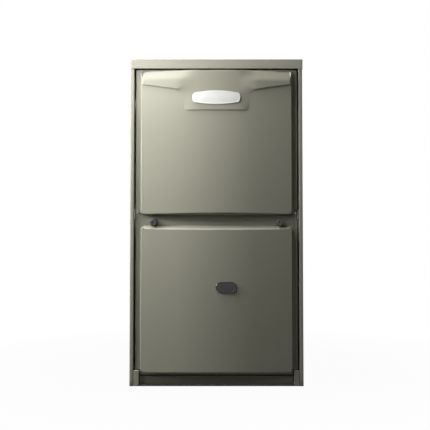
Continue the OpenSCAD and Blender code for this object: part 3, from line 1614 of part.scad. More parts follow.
// Loom from the gas valve through the deck to the control board.
module wiring_harness() {
    top = burner_z - valve_h / 2 - valve_port[1];
    low = board_z - 2 * fuse[2] - disc_t * 2;
    plug_x = board_x - board_w / 2 + 2 * standoff_inset + standoff_r;
    route = [
        [loom_x, manifold_y, top],
        [loom_x, manifold_y, top - loom_drop],
        [loom_x, loom_y, top - loom_drop],
        [loom_x, loom_y, low],
        [plug_x, loom_y, low],
        [plug_x, board_y - fuse[1], low]];
    color("#1b1b1b") tube_route(route, loom_r, 0, loom_bend);
}

// ---- Doors ----

// Everything behind a raised panel's bowed face, inside its outline. grow moves the face outwards.
module bowed(x, z, r, grow) {
    intersection() {
        upright([panel_face_y - reach, door_back_y]) rounded(x, z, r);
        translate([0, bow_axis_y, z[0] - over])
            cylinder(r = bow_r + grow, h = z[1] - z[0] + 2 * over, $fn = 256);
    }
}

// Half of the wings' and stem's outline, seen from the front.
module emboss_outline(inset) {
    z1 = upper_panel_z[1];
    polygon([
        [-stem_foot_w / 2 + inset, z1 - stem_h + inset],
        [stem_foot_w / 2 - inset, z1 - stem_h + inset],
        [stem_top_w / 2 - inset, z1 - wing_inner_h],
        [stem_top_w / 2 - inset, z1 - inset],
        [-stem_top_w / 2 + inset, z1 - inset],
        [-stem_top_w / 2 + inset, z1 - wing_inner_h]]);
}

module wing_outline(inset) {
    z1 = upper_panel_z[1];
    x0 = stem_top_w / 2 - 2 * inset - 4;
    x1 = panel_half - wing_inset - inset;
    polygon([
        [x0, z1 - wing_inner_h + inset * 1.5],
        [stem_top_w / 2 + 8, z1 - wing_inner_h + 5 + inset],
        [x1 - 15, z1 - wing_outer_h - 1 + inset],
        [x1, z1 - wing_outer_h + inset],
        [x1, z1 - wing_inset - inset],
        [x0, z1 - wing_inset - inset]]);
}

// The wings' surface: full height at the crease, falling away towards the top of the door.
module wing_surface(inset) {
    z1 = upper_panel_z[1];
    r = bow_r - inset;
    span = 16;
    translate([0, bow_axis_y, 0]) rotate([0, 0, -90 - span / 2])
    rotate_extrude(angle = span, $fn = 256) polygon([
        [r - sheet_t, z1 - wing_inner_h - 4],
        [r + emboss_h, z1 - wing_inner_h - 4],
        [r + emboss_h, z1 - wing_outer_h + 2],
        [r + emboss_h * 0.75, z1 - wing_outer_h * 0.6],
        [r + emboss_h * 0.3, z1 - wing_outer_h * 0.3],
        [r + 0.2, z1 - wing_inset],
        [r - sheet_t, z1 - wing_inset]]);
}

module emboss(inset) {
    union() {
        intersection() {
            upright([panel_face_y - reach, panel_face_y + reach / 2]) emboss_outline(inset);
            translate([0, bow_axis_y, upper_panel_z[1] - stem_h])
                cylinder(r = bow_r + emboss_h - inset, h = stem_h, $fn = 256);
        }
        pair() intersection() {
            upright([panel_face_y - reach, door_y]) wing_outline(inset);
            wing_surface(inset);
        }
    }
}

// Door flange outline with the notches that clear the door rest tabs.
module upper_flange_area() {
    z = upper_door_z;
    notch_z = tab_z[1] + tab_clear;
    polygon([
        [-notch_half, z[0]], [notch_half, z[0]], [notch_half, notch_z], [door_half, notch_z],
        [door_half, z[1]], [-door_half, z[1]], [-door_half, notch_z], [-notch_half, notch_z]]);
}

module lower_flange_area() {
    z0 = lower_door_z;
    step_z = foot_top_z + tab_clear;
    in = foot_inner - door_clear;
    notch_z = tab_z[0] - tab_clear * 3;
    ear = panel_half + door_clear;
    polygon([
        [-in, z0], [in, z0], [in, step_z], [door_half, step_z], [door_half, notch_z],
        [notch_half, notch_z], [notch_half, ear_top_z], [ear, ear_top_z], [ear, lower_top_z],
        [-ear, lower_top_z], [-ear, ear_top_z], [-notch_half, ear_top_z],
        [-notch_half, notch_z], [-door_half, notch_z], [-door_half, step_z], [-in, step_z]]);
}

module upper_door() {
    x = [-panel_half, panel_half];
    z = upper_panel_z;
    t = sheet_t;
    color("#9a9a8a")
    difference() {
        union() {
            bowed(x, z, panel_corner_r, 0);
            emboss(0);
            upright([door_y, door_back_y]) upper_flange_area();
            block([-panel_half - door_clear, panel_half + door_clear], [door_y, door_back_y + door_return],
                  [upper_door_z[1] - t, upper_door_z[1]]);
        }
        bowed([x[0] + t, x[1] - t], [z[0] + t, z[1] - t], panel_corner_r - t, -t);
        intersection() {
            emboss(t);
            block([x[0] + 2 * t, x[1] - 2 * t], [panel_face_y - reach, panel_face_y + reach],
                  [z[0], z[1] - 2 * t]);
        }
        block([x[0] + t, x[1] - t], [door_y - over, door_back_y + over],
              [upper_door_z[0] + 2 * t, z[1] - panel_corner_r]);
        block([x[0] - over, x[1] + over], [door_y - hang_gap, door_back_y + over],
              [z[0] - over, upper_door_z[0]]);
    }
}

module badge_outline() {
    intersection() {
        rounded([-badge_w / 2, badge_w / 2], [badge_z - badge_h / 2, badge_z + badge_h / 2],
                badge_h * 0.42);
        translate([0, badge_z - badge_arc_r + badge_h / 2]) circle(badge_arc_r, $fn = 256);
        translate([0, badge_z + badge_arc_r - badge_h / 2]) circle(badge_arc_r, $fn = 256);
    }
}

module badge_plate() {
    color("#e6e6e2")
    intersection() {
        upright([panel_face_y - emboss_h - badge_t - over, panel_face_y + over]) badge_outline();
        difference() {
            translate([0, bow_axis_y, badge_z - badge_h])
                cylinder(r = bow_r + emboss_h + badge_t, h = 2 * badge_h, $fn = 256);
            translate([0, bow_axis_y, badge_z - badge_h - over])
                cylinder(r = bow_r + emboss_h, h = 2 * (badge_h + over), $fn = 256);
        }
    }
}

module lower_door() {
    x = [-panel_half, panel_half];
    z = lower_panel_z;
    t = sheet_t;
    color("#9a9a8a")
    difference() {
        union() {
            bowed(x, z, panel_corner_r, 0);
            upright([door_y, door_back_y]) lower_flange_area();
            block([-panel_half + door_clear, panel_half - door_clear], [door_y, door_back_y + door_return],
                  [lower_door_z, lower_door_z + t]);
        }
        bowed([x[0] + t, x[1] - t], [z[0] + t, z[1] - t], panel_corner_r - t, -t);
        block([x[0] + t, x[1] - t], [door_y - over, door_back_y + over],
              [z[0] + panel_corner_r, z[1] - panel_corner_r]);
        for (s = [-1, 1])
            rod_y(stud_r + stud_clear, s * knob_x, [door_y - over, door_back_y + over], knob_z);
        translate([sight_x, 0, sight_z]) upright([panel_face_y - reach, door_y])
            stadium(sight_w - 2 * sight_lip, sight_h - 2 * sight_lip);
    }
}

// Oval plastic window that snaps into the lower door.
module sight_glass() {
    neck = panel_face_y + sheet_t + sight_neck;
    color("#2a2a2c")
    union() {
        difference() {
            translate([sight_x, 0, sight_z]) upright([panel_face_y - sight_proud, panel_face_y + 2])
                stadium(sight_w, sight_h);
            translate([0, bow_axis_y, sight_z - sight_h])
                cylinder(r = bow_r + sight_bed, h = 2 * sight_h, $fn = 256);
        }
        translate([sight_x, 0, sight_z]) upright([panel_face_y - over, neck])
            stadium(sight_w - 2 * sight_lip - sight_bed, sight_h - 2 * sight_lip - sight_bed);
    }
}

// ---- Latch knobs ----

module knob_at(x) {
    base = door_y - knob_gap;
    color("#4a4a48")
    difference() {
        union() {
            rod_y(knob_skirt_r, x, [base - knob_h * 0.3, base], knob_z);
            rod_y(knob_r, x, [base - knob_h, base], knob_z);
        }
        rod_y(stud_r, x, [base - knob_h * 0.7, base + over], knob_z);
        rod_y(dimple[0], x, [base - knob_h - over, base - knob_h + dimple[1]], knob_z);
    }
}

// Steel stud with the cross bar that turns behind the deck's front flange.
module stud_at(x) {
    base = door_y - knob_gap;
    bar_y = deck_lip_y + sheet_t + bar_gap;
    color("#b8bcbf")
    union() {
        rod_y(stud_r, x, [base - knob_h * 0.7, bar_y + bar_t], knob_z);
        block([x - bar_l / 2, x + bar_l / 2], [bar_y, bar_y + bar_t],
              [knob_z - bar_w / 2, knob_z + bar_w / 2]);
    }
}

left_side_panel();
right_side_panel();
rear_panel();
top_cap();
cap_screws();
base_pan();
base_rail();
corner_feet();
door_rest_tabs();
blower_deck();
vestibule_panel();
insulation_liner();
burner_box();
for (i = [1:section_count]) {
    burner(i);
    heat_exchanger(i);
}
gas_manifold();
gas_orifices();
gas_valve();
gas_valve_knob();
igniter();
flame_sensor();
rollout_switch();
rollout_button();
condensing_coil();
cold_end_header();
inducer_housing();
inducer_motor();
inducer_shaft();
inducer_wheel();
flue_pipe();
air_intake_pipe();
pressure_switch();
pressure_hose();
condensate_trap();
blower_scroll();
blower_side_left();
blower_side_right();
blower_motor();
motor_mount();
blower_shaft();
blower_wheel();
run_capacitor();
control_tray();
control_board();
transformer();
door_switch();
door_switch_plunger();
wiring_harness();
upper_door();
badge_plate();
lower_door();
sight_glass();
knob_at(-knob_x);  // left_knob
knob_at(knob_x);  // right_knob
stud_at(-knob_x);  // left_stud
stud_at(knob_x);  // right_stud
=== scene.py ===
import bpy
import math
import numpy as np
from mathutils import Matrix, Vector


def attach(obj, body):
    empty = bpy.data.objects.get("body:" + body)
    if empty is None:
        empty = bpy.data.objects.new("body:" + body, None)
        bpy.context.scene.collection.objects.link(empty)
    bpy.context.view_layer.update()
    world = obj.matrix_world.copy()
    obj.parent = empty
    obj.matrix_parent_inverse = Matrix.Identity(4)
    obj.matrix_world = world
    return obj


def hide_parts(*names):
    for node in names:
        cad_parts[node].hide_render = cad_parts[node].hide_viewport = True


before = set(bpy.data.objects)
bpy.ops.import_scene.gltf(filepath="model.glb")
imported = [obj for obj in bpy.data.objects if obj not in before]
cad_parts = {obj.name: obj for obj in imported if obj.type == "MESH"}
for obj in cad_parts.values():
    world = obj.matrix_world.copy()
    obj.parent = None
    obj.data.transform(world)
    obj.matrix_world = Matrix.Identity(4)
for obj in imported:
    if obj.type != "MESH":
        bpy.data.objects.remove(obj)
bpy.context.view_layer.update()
print("frame loaded")


# lengths in the dictionaries are millimetres, unless a note says otherwise

def linear(hexCode):
    # sRGB to linear: up to 0.04045 the value over 12.92, above it ((c + 0.055) / 1.055) to the power 2.4
    parts = [int(hexCode[i:i + 2], 16) / 255 for i in (1, 3, 5)]
    return tuple(c / 12.92 if c <= 0.04045 else ((c + 0.055) / 1.055) ** 2.4 for c in parts) + (1.0,)


def addNode(tree, kind, inputs=None, **settings):
    # a plain value is set on the new node's socket, another node's socket is linked to it
    made = tree.nodes.new("ShaderNode" + kind)
    for key, value in settings.items():
        setattr(made, key, value)
    for key, value in (inputs or {}).items():
        if isinstance(value, bpy.types.NodeSocket):
            tree.links.new(value, made.inputs[key])
        else:
            made.inputs[key].default_value = value
    return made


def smooth(a, b, x):
    # 0 up to a, 1 from b on, and 3 t t - 2 t t t between them, where t is the share of the way
    t = np.clip((x - a) / (b - a), 0, 1)
    return t * t * (3 - 2 * t)


def finishSurface(name, dark, light, patch, roughness, grain, bump, stretch=(1, 1, 1), metallic=0.0,
                  cells=False, **constants):
    # Colour and roughness follow one pattern of patches, and a finer noise gives the bumps. patch: size of
    # the patches in mm; roughness: lowest and highest; grain: size of the bumps in mm; bump: their height in
    # mm; stretch: how many times longer the marks are along x, y and z; cells: patches with straight edges,
    # as on zinc, in place of soft ones; constants: plain values for the shader.
    material = bpy.data.materials.new(name)
    material.use_nodes = True
    tree = material.node_tree
    shader = tree.nodes["Principled BSDF"]
    place = addNode(tree, "TexCoord").outputs["Object"]
    long = addNode(tree, "Mapping", {"Vector": place, "Scale": tuple(1 / s for s in stretch)}).outputs[0]
    if cells:
        patches = addNode(tree, "TexVoronoi", {"Vector": long, "Scale": 1000 / patch, "Randomness": 1.0})
        spread = addNode(tree, "SeparateColor", {"Color": patches.outputs["Color"]}).outputs[0]
    else:
        patches = addNode(tree, "TexNoise", {"Vector": long, "Scale": 1000 / patch, "Detail": 3.0,
                                             "Roughness": 0.55})
        spread = patches.outputs[0]
    tone = addNode(tree, "Mix", data_type="RGBA")
    tone.inputs[6].default_value = linear(dark)
    tone.inputs[7].default_value = linear(light)
    tree.links.new(spread, tone.inputs[0])
    tree.links.new(tone.outputs[2], shader.inputs["Base Color"])
    rough = addNode(tree, "MapRange", {"Value": spread, "To Min": roughness[0], "To Max": roughness[1]})
    tree.links.new(rough.outputs[0], shader.inputs["Roughness"])
    fine = addNode(tree, "TexNoise", {"Vector": long, "Scale": 1000 / grain, "Detail": 2.0})
    relief = addNode(tree, "Bump", {"Height": fine.outputs[0], "Strength": 1.0, "Distance": bump / 1000})
    tree.links.new(relief.outputs[0], shader.inputs["Normal"])
    shader.inputs["Metallic"].default_value = metallic
    for key, value in constants.items():
        shader.inputs[key].default_value = value
    return material


# baked enamel: even warm grey, a broad soft gloss and the faint orange peel of a sprayed coat
enamel = finishSurface("cabinet_enamel", "#99988a", "#9a998b", 220, (0.27, 0.29), 2.2, 0.008,
                       **{"Specular IOR Level": 0.1})
# zinc coated sheet: spangles that differ a little in tone and gloss
galvanised = finishSurface("galvanised_steel", "#8f9496", "#b3b8ba", 9, (0.30, 0.48), 1.5, 0.02,
                           metallic=0.9, cells=True)
# aluminised sheet: soft silver with faint rolling streaks and a straw tint
aluminised = finishSurface("aluminised_steel", "#a39d92", "#bdb9b0", 30, (0.36, 0.5), 0.8, 0.01,
                           stretch=(1, 8, 1), metallic=0.9)
# stainless sheet: brighter, finely brushed along the gas path
stainless = finishSurface("stainless_steel", "#a8a8a6", "#c4c5c4", 14, (0.24, 0.36), 0.5, 0.006,
                          stretch=(1, 14, 1), metallic=1.0)
# black iron pipe: dull mill scale with grey patches
blackPipe = finishSurface("black_pipe", "#2b2d2f", "#45484a", 12, (0.5, 0.68), 1.2, 0.05, metallic=0.6)
# die cast aluminium: matt grey with a fine cast skin
castValve = finishSurface("cast_valve", "#888c8f", "#a2a6a8", 8, (0.42, 0.56), 0.8, 0.04, metallic=0.85)
# motor shells: semi gloss dark grey enamel over rolled steel
motorShell = finishSurface("motor_shell", "#2c3035", "#383d42", 25, (0.34, 0.44), 1.6, 0.015)
# zinc plated steel: cool and bright with slight tarnish
plated = finishSurface("plated_steel", "#a3a8ab", "#c0c5c7", 10, (0.24, 0.38), 0.7, 0.008, metallic=1.0)
# turned brass: yellow with fine tool marks
brass = finishSurface("spud_brass", "#b08d3f", "#c9a757", 6, (0.24, 0.36), 0.4, 0.01, stretch=(1, 1, 5),
                      metallic=1.0)
# black nylon: dull moulded skin
nylon = finishSurface("black_nylon", "#1d1f21", "#26282b", 10, (0.46, 0.58), 0.5, 0.015)
# the knobs' grey nylon: a softer, lighter moulded skin
knobNylon = finishSurface("knob_nylon", "#343432", "#3e3e3b", 8, (0.42, 0.54), 0.45, 0.02)
# smoked acrylic: nearly black and glossy
smoked = finishSurface("smoked_lens", "#1c1b1d", "#232124", 30, (0.10, 0.16), 6, 0.004)
# the badge's pale plastic: smooth moulding with a satin skin
badgePlastic = finishSurface("badge_plastic", "#dcdcd9", "#e4e4e1", 18, (0.30, 0.38), 0.9, 0.005)
# rigid white pipe plastic
whitePipe = finishSurface("white_pipe", "#dedfda", "#e9e9e4", 35, (0.30, 0.42), 2.5, 0.02)
# black glass filled polypropylene: slightly grey with flow marks
headerPlastic = finishSurface("header_plastic", "#232528", "#2f3235", 26, (0.44, 0.58), 0.9, 0.03)
# the trap's translucent looking off white moulding
trapPlastic = finishSurface("trap_plastic", "#cdcec8", "#dadbd6", 22, (0.36, 0.48), 1.4, 0.02)
# rubber hose and cable sleeve: matt black with bloom
hoseRubber = finishSurface("hose_rubber", "#191919", "#262625", 7, (0.6, 0.76), 0.7, 0.03)
# foil facing: crumpled bright foil
foil = finishSurface("foil_insulation", "#b4b8bb", "#d0d3d5", 22, (0.2, 0.36), 11, 0.5, metallic=1.0)
# sintered ceramic: chalky cream
ceramic = finishSurface("igniter_ceramic", "#d2cabb", "#e2dccf", 6, (0.6, 0.74), 0.6, 0.03)
# board laminate: green solder mask with lighter tracks
laminate = finishSurface("board_laminate", "#1f4f31", "#2f6f47", 5, (0.3, 0.5), 0.8, 0.03, stretch=(6, 1, 1))
# transformer: varnished laminations
coreIron = finishSurface("core_iron", "#3d342c", "#5e5246", 1.2, (0.4, 0.58), 0.6, 0.05, stretch=(1, 1, 30),
                         metallic=0.4)
# reset button and switch plunger: glossy mouldings
redButton = finishSurface("red_button", "#a3211a", "#b32a22", 4, (0.28, 0.36), 0.8, 0.01)
whiteButton = finishSurface("white_button", "#d6d6cf", "#e2e2dc", 5, (0.3, 0.4), 0.8, 0.01)

# the CAD nodes that are shown as they are, by finish
carried = {
    enamel: ["blower_deck"],
    galvanised: ["rear_panel", "base_pan", "vestibule_panel", "blower_scroll", "blower_side_left",
                 "blower_side_right", "control_tray", "blower_wheel", "run_capacitor", "burner_box"],
    aluminised: ["burner_1", "burner_2", "burner_3", "heat_exchanger_1", "heat_exchanger_2",
                 "heat_exchanger_3"],
    stainless: ["condensing_coil"],
    foil: ["insulation_liner"],
    blackPipe: ["gas_manifold"],
    brass: ["gas_orifices"],
    castValve: ["gas_valve"],
    ceramic: ["igniter", "flame_sensor"],
    nylon: ["gas_valve_knob", "rollout_switch", "inducer_wheel", "door_switch"],
    redButton: ["rollout_button"],
    headerPlastic: ["cold_end_header", "inducer_housing", "pressure_switch"],
    motorShell: ["inducer_motor", "blower_motor"],
    plated: ["inducer_shaft", "blower_shaft", "motor_mount", "left_stud", "right_stud"],
    whitePipe: ["flue_pipe", "air_intake_pipe"],
    trapPlastic: ["condensate_trap"],
    hoseRubber: ["pressure_hose", "wiring_harness"],
    laminate: ["control_board"],
    coreIron: ["transformer"],
    whiteButton: ["door_switch_plunger"],
}
for material, nodes in carried.items():
    for name in nodes:
        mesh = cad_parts[name].data
        mesh.materials.clear()
        mesh.materials.append(material)
print("materials made")


def makeMesh(name, points, faces, material, body, node, sharp=38):
    # points are in mm; faces all have the same number of corners; node is the CAD node that the piece
    # replaces; edges that bend by more than sharp degrees stay crisp
    mesh = bpy.data.meshes.new(name)
    corners = faces.shape[1]
    mesh.vertices.add(len(points))
    mesh.vertices.foreach_set("co", (np.asarray(points) / 1000).astype(np.float32).ravel())
    mesh.loops.add(faces.size)
    mesh.loops.foreach_set("vertex_index", faces.astype(np.int32).ravel())
    mesh.polygons.add(len(faces))
    mesh.polygons.foreach_set("loop_start", np.arange(0, faces.size, corners, dtype=np.int32))
    mesh.polygons.foreach_set("use_smooth", np.ones(len(faces), bool))
    mesh.update(calc_edges=True)
    mesh.validate()
    mesh.set_sharp_from_angle(angle=math.radians(sharp))
    mesh.materials.append(material)
    made = bpy.data.objects.new(name, mesh)
    bpy.context.scene.collection.objects.link(made)
    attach(made, body)
    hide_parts(node)


def joined(parts):
    # several pieces as one: each piece's quads are numbered on from the points before it
    starts = np.cumsum([0] + [len(points) for points, _ in parts[:-1]])
    return (np.concatenate([points for points, _ in parts]),
            np.concatenate([quads + start for (_, quads), start in zip(parts, starts)]))


def spans(*parts):
    # grid lines from parts given as (start, end, step), where the step gives way so that it fits
    values = [np.linspace(a, b, max(1, int(round(abs(b - a) / step))) + 1) for a, b, step in parts]
    return np.unique(np.round(np.concatenate(values), 4))


def both(values):
    # lines on the right of the middle, with their mirror images on the left
    return np.unique(np.round(np.concatenate([-values, values]), 4))


def level(u, v):
    # a flat sheet: height 0 everywhere
    return np.zeros_like(u)


def boxInside(u, v, u0, u1, v0, v1, r=0.0):
    # how far a point is inside a rectangle with corners of radius r; negative outside
    du = np.abs(u - (u0 + u1) / 2) - (u1 - u0) / 2 + r
    dv = np.abs(v - (v0 + v1) / 2) - (v1 - v0) / 2 + r
    return r - np.hypot(np.maximum(du, 0), np.maximum(dv, 0)) - np.minimum(np.maximum(du, dv), 0)


def outsideOval(u, v, cu, cv, half, r):
    # how far a point is outside a bar with round ends of radius r; half 0 gives a circle
    return np.hypot(np.maximum(np.abs(u - cu) - half, 0), v - cv) - r


def vertexNormals(points, quads):
    # the cross products of the diagonals of the quads round each point, added up and brought to length 1
    a, b, c, d = (points[quads[:, i]] for i in range(4))
    across = np.cross(c - a, d - b)
    total = np.zeros_like(points)
    for i in range(4):
        np.add.at(total, quads[:, i], across)
    length = np.linalg.norm(total, axis=1, keepdims=True)
    return total / np.maximum(length, 1e-12)


def openEdges(quads, count):
    # edges that only one face uses, in that face's direction
    edges = np.concatenate([quads[:, [0, 1]], quads[:, [1, 2]], quads[:, [2, 3]], quads[:, [3, 0]]])
    edges = edges[edges[:, 0] != edges[:, 1]]
    key = np.minimum(edges[:, 0], edges[:, 1]) * count + np.maximum(edges[:, 0], edges[:, 1])
    _, first, uses = np.unique(key, return_index=True, return_counts=True)
    return edges[first[uses == 1]]


def thicken(points, quads, thickness):
    # gives an open surface a back, thickness behind it along the normals, and closes its edges
    count = len(points)
    back = points - vertexNormals(points, quads) * thickness
    rim = openEdges(quads, count)
    sides = np.stack([rim[:, 1], rim[:, 0], rim[:, 0] + count, rim[:, 1] + count], 1)
    return np.concatenate([points, back]), np.concatenate([quads, quads[:, ::-1] + count, sides])


def sheetPanel(us, vs, outline, height, edge, place, thickness, flip=False, bendSteps=5):
    # A pressed sheet over a grid of lines. outline(u, v) is the distance inside its edge, height(u, v) the
    # surface over its base plane, edge(u, v) the radius and depth of the bend round the edge, and
    # place(u, v, w) turns all that to x, y, z. The bend follows a quarter circle and then runs straight back.
    u, v = (a.ravel() for a in np.meshgrid(us, vs, indexing="ij"))
    nu, nv = len(us), len(vs)
    index = np.arange(nu * nv).reshape(nu, nv)
    cells = np.stack([index[:-1, :-1], index[1:, :-1], index[1:, 1:], index[:-1, 1:]], -1).reshape(-1, 4)
    inset = lambda a, b: outline(a, b) - edge(a, b)[0]
    quads = cells[inset(u[cells].mean(1), v[cells].mean(1)) > 0]
    uses = np.bincount(quads.ravel(), minlength=len(u))
    rim = (uses > 0) & (uses < 4)
    du = np.gradient(us)[:, None] + np.zeros(nv)
    dv = np.gradient(vs)[None, :] + np.zeros((nu, 1))
    reach = np.maximum(du, dv).ravel()
    probe = 0.01                                           # the slopes are measured this far each way
    for _ in range(2):                                     # moves the stepped edge on to the true outline
        slopeU = (inset(u + probe, v) - inset(u - probe, v)) / (2 * probe)
        slopeV = (inset(u, v + probe) - inset(u, v - probe)) / (2 * probe)
        size = np.maximum(np.hypot(slopeU, slopeV), 0.3)
        move = np.clip(inset(u, v) / size, -reach, reach)
        u = np.where(rim, u - slopeU / size * move, u)
        v = np.where(rim, v - slopeV / size * move, v)
    rimEdges = openEdges(quads, len(u))
    rimPoints = np.unique(rimEdges)
    outU, outV = -slopeU[rimPoints] / size[rimPoints], -slopeV[rimPoints] / size[rimPoints]
    radius, depth = (a[rimPoints] for a in edge(u, v))
    w = height(u, v)
    rings, number = [], np.full(len(u), -1)
    number[rimPoints] = np.arange(len(rimPoints))
    lines = [(math.sin(k * math.pi / 2 / bendSteps), 1 - math.cos(k * math.pi / 2 / bendSteps), 0)
             for k in range(1, bendSteps + 1)] + [(1, 1, 1)]
    for out, down, run in lines:
        rings.append((u[rimPoints] + outU * radius * out, v[rimPoints] + outV * radius * out,
                      w[rimPoints] - radius * down - np.maximum(depth - radius, 0.05) * run))
    allU, allV, allW = (np.concatenate([first] + [r[i] for r in rings]) for i, first in enumerate((u, v, w)))
    previous = rimEdges
    strips = []
    for k in range(len(rings)):
        following = number[rimEdges] + len(u) + k * len(rimPoints)
        strips.append(np.stack([previous[:, 1], previous[:, 0], following[:, 0], following[:, 1]], 1))
        previous = following
    quads = np.concatenate([quads] + strips)
    used = np.unique(quads)
    renumber = np.zeros(len(allU), int)
    renumber[used] = np.arange(len(used))
    points = np.stack(place(allU[used], allV[used], allW[used]), 1)
    quads = renumber[quads]
    if flip:
        quads = quads[:, ::-1]
    return thicken(points, quads, thickness)


def roundedPath(corners, radii, step):
    # samples a bent line: corner points, a bend radius for each inner corner, and about how long the
    # straight steps are; each bend is an arc that starts and ends radius * tan(turn / 2) from its corner
    samples = [np.array(corners[0], float)]
    corners = [np.array(c, float) for c in corners]
    for i in range(1, len(corners)):
        start = samples[-1]
        if i < len(corners) - 1:
            before = (corners[i] - corners[i - 1]) / np.linalg.norm(corners[i] - corners[i - 1])
            after = (corners[i + 1] - corners[i]) / np.linalg.norm(corners[i + 1] - corners[i])
            turn = math.acos(np.clip(before @ after, -1, 1))
            cut = radii[i - 1] * math.tan(turn / 2)
            end = corners[i] - before * cut
        else:
            end = corners[i]
        for t in np.linspace(0, 1, max(1, int(np.linalg.norm(end - start) / step)) + 1)[1:]:
            samples.append(start + (end - start) * t)
        if i < len(corners) - 1:
            inward = (after - before * (after @ before))
            inward = inward / np.linalg.norm(inward)
            centre = end + inward * radii[i - 1]
            for a in np.linspace(0, turn, 7)[1:]:
                samples.append(centre + radii[i - 1] * (before * math.sin(a) - inward * math.cos(a)))
    line = np.array(samples)
    length = np.concatenate([[0], np.cumsum(np.linalg.norm(np.diff(line, axis=0), axis=1))])
    return line, length


def lathe(profile, centre, count, flute):
    # (radius, y) pairs from the middle of the back to the middle of the front, turned about Y; flute(angle)
    # is added to the radius, in full at the widest and fading out at 0.8 of it
    r, y = np.array(profile, float).T
    angle = np.arange(count) * 2 * math.pi / count
    radius = r[:, None] + flute(angle)[None, :] * smooth(0.8, 1.0, r / r.max())[:, None]
    x = centre[0] + radius * np.cos(angle)
    z = centre[1] + radius * np.sin(angle)
    points = np.stack([x, np.broadcast_to(y[:, None], x.shape), z], -1).reshape(-1, 3)
    index = np.arange(len(r) * count).reshape(len(r), count)
    following = np.roll(index, -1, axis=1)
    quads = np.stack([index[:-1], following[:-1], following[1:], index[1:]], -1).reshape(-1, 4)
    ends = [filled(0, count)[:, ::-1], filled((len(r) - 1) * count, count)]
    return points, np.concatenate([quads] + ends)


def filled(start, count):
    # quads that fill a closed loop of an even count of points: each joins two neighbours to the two opposite
    i = np.arange(count // 2 - 1)
    return start + np.stack([i, i + 1, count - 2 - i, count - 1 - i], 1)


def loops(rings):
    # rings: closed loops of points with the same even count; the first and last are filled
    count = rings[0].shape[0]
    points = np.concatenate(rings)
    index = np.arange(len(rings) * count).reshape(len(rings), count)
    following = np.roll(index, -1, axis=1)
    quads = np.stack([index[:-1], following[:-1], following[1:], index[1:]], -1).reshape(-1, 4)
    ends = [filled(0, count)[:, ::-1], filled((len(rings) - 1) * count, count)]
    return points, np.concatenate([quads] + ends)


door = {
    "faceY": -348.6,          # front of the door flanges
    "panelY": -370.6,         # furthest front of the bowed panels
    "bowRadius": 1172.0,
    "bowHalf": 100.0,         # the panels are bowed up to here and run straight on both sides of it
    "footHalf": 194.6,        # where the panel's wall leaves the flange, from the middle
    "cornerRadius": 13.0,
    "sheet": 1.2,
    "sideSlope": 10.0,        # rise of the walls for each millimetre across
    "rollRadius": 1.6,        # rounding where the wall meets the panel
    "footRadius": 1.4,
}


def bowBack(x):
    # how far the face falls back at a distance x from the middle: x * x / (2 * radius), then a straight line
    a = np.abs(x)
    bowed = np.minimum(a, door["bowHalf"])
    straight = np.maximum(a - door["bowHalf"], 0)
    return (bowed ** 2 / 2 + straight * door["bowHalf"]) / door["bowRadius"]


def wallRise(e, full, slope, top, foot):
    # height over the flange at a distance e inside the foot line: fillet, straight wall, rounding, flat
    angle = np.arctan(slope)
    footEnd = foot * (1 - np.cos(angle)) / slope
    footStart = footEnd - foot * np.sin(angle)
    topStart = (full - top * (1 - np.cos(angle))) / slope
    topEnd = topStart + top * np.sin(angle)
    inFoot = foot - np.sqrt(np.maximum(foot ** 2 - np.clip(e - footStart, 0, None) ** 2, 0))
    inTop = full - top + np.sqrt(np.maximum(top ** 2 - np.clip(topEnd - e, 0, None) ** 2, 0))
    rise = np.where(e < footStart, 0.0, np.where(e < footEnd, inFoot, e * slope))
    return np.where(e > topEnd, full, np.where(e > topStart, inTop, rise))


def panelHeight(x, z, low, high, lowSlope, highSlope):
    # a raised, bowed panel whose lower and upper walls have slopes of their own
    e = boxInside(x, z, -door["footHalf"], door["footHalf"], low, high, door["cornerRadius"])
    full = door["faceY"] - door["panelY"] - bowBack(x)
    # the side walls' slope turns into that of the end walls over the corner's diagonal
    ends = np.where(z - low < high - z, lowSlope, highSlope)
    diagonal = door["footHalf"] - np.abs(x) - np.minimum(z - low, high - z)
    slope = door["sideSlope"] + (ends - door["sideSlope"]) * smooth(-4, 4, diagonal)
    return wallRise(e, full, slope, door["rollRadius"], door["footRadius"]), e


def doorPlace(x, z, w):
    # a height over the flange is a distance in front of the flange's face
    return x, door["faceY"] - w, z


upper = {
    "low": 439.9, "high": 812.0, "half": 208.0,       # flange limits
    "panelLow": 434.7, "panelHigh": 809.6,            # foot lines of the panel
    "lowSlope": 4.2, "highSlope": 7.0,                # slopes of its lower and upper walls
    "notchHalf": 204.5, "notchTop": 450.8,            # notches for the door rest tabs
    "wingRise": 3.6, "stemRise": 2.4,                 # how far the T stands out
    "stemFoot": 703.4, "stemFootHalf": 77.0, "stemTopHalf": 95.0,
    "stemSoft": 38.0,                                 # width over which its sides blend into the panel
    "creaseInner": 756.5, "creaseOuter": 771.3,       # the wings' lower edge at its two ends
    "creaseInnerX": 97.0, "creaseOuterX": 188.0,
    "creaseStep": (-1.6, 0.4),                        # the step's lower and upper end, from the crease
    "creaseFade": (106.0, 84.0), "creaseSoft": 12.0,  # between these x the step widens by this much each way
    "leanLow": 778.0, "bendLength": 9.0,              # where the wing begins to lean back, and its bend
    "leanSlope": 0.4,                                 # how far it leans back for each millimetre up
    "wingSide": 191.0,                                # the wings' outer end
    "wingInner": 54.0, "wingFull": 106.0,             # the stem's height turns into the wing's between these
    "stemThin": (34.0, 4.0),                          # the stem loses half its height from the second to the
                                                      # first of these distances above its foot
    "footMargin": 5.0,                                # the foot's crisp rectangle is this much wider
    "footFade": (5.0, 30.0),                          # its sides fade out between these heights above it
    "stemReach": 900.0,                               # it ends anywhere above the wings
}


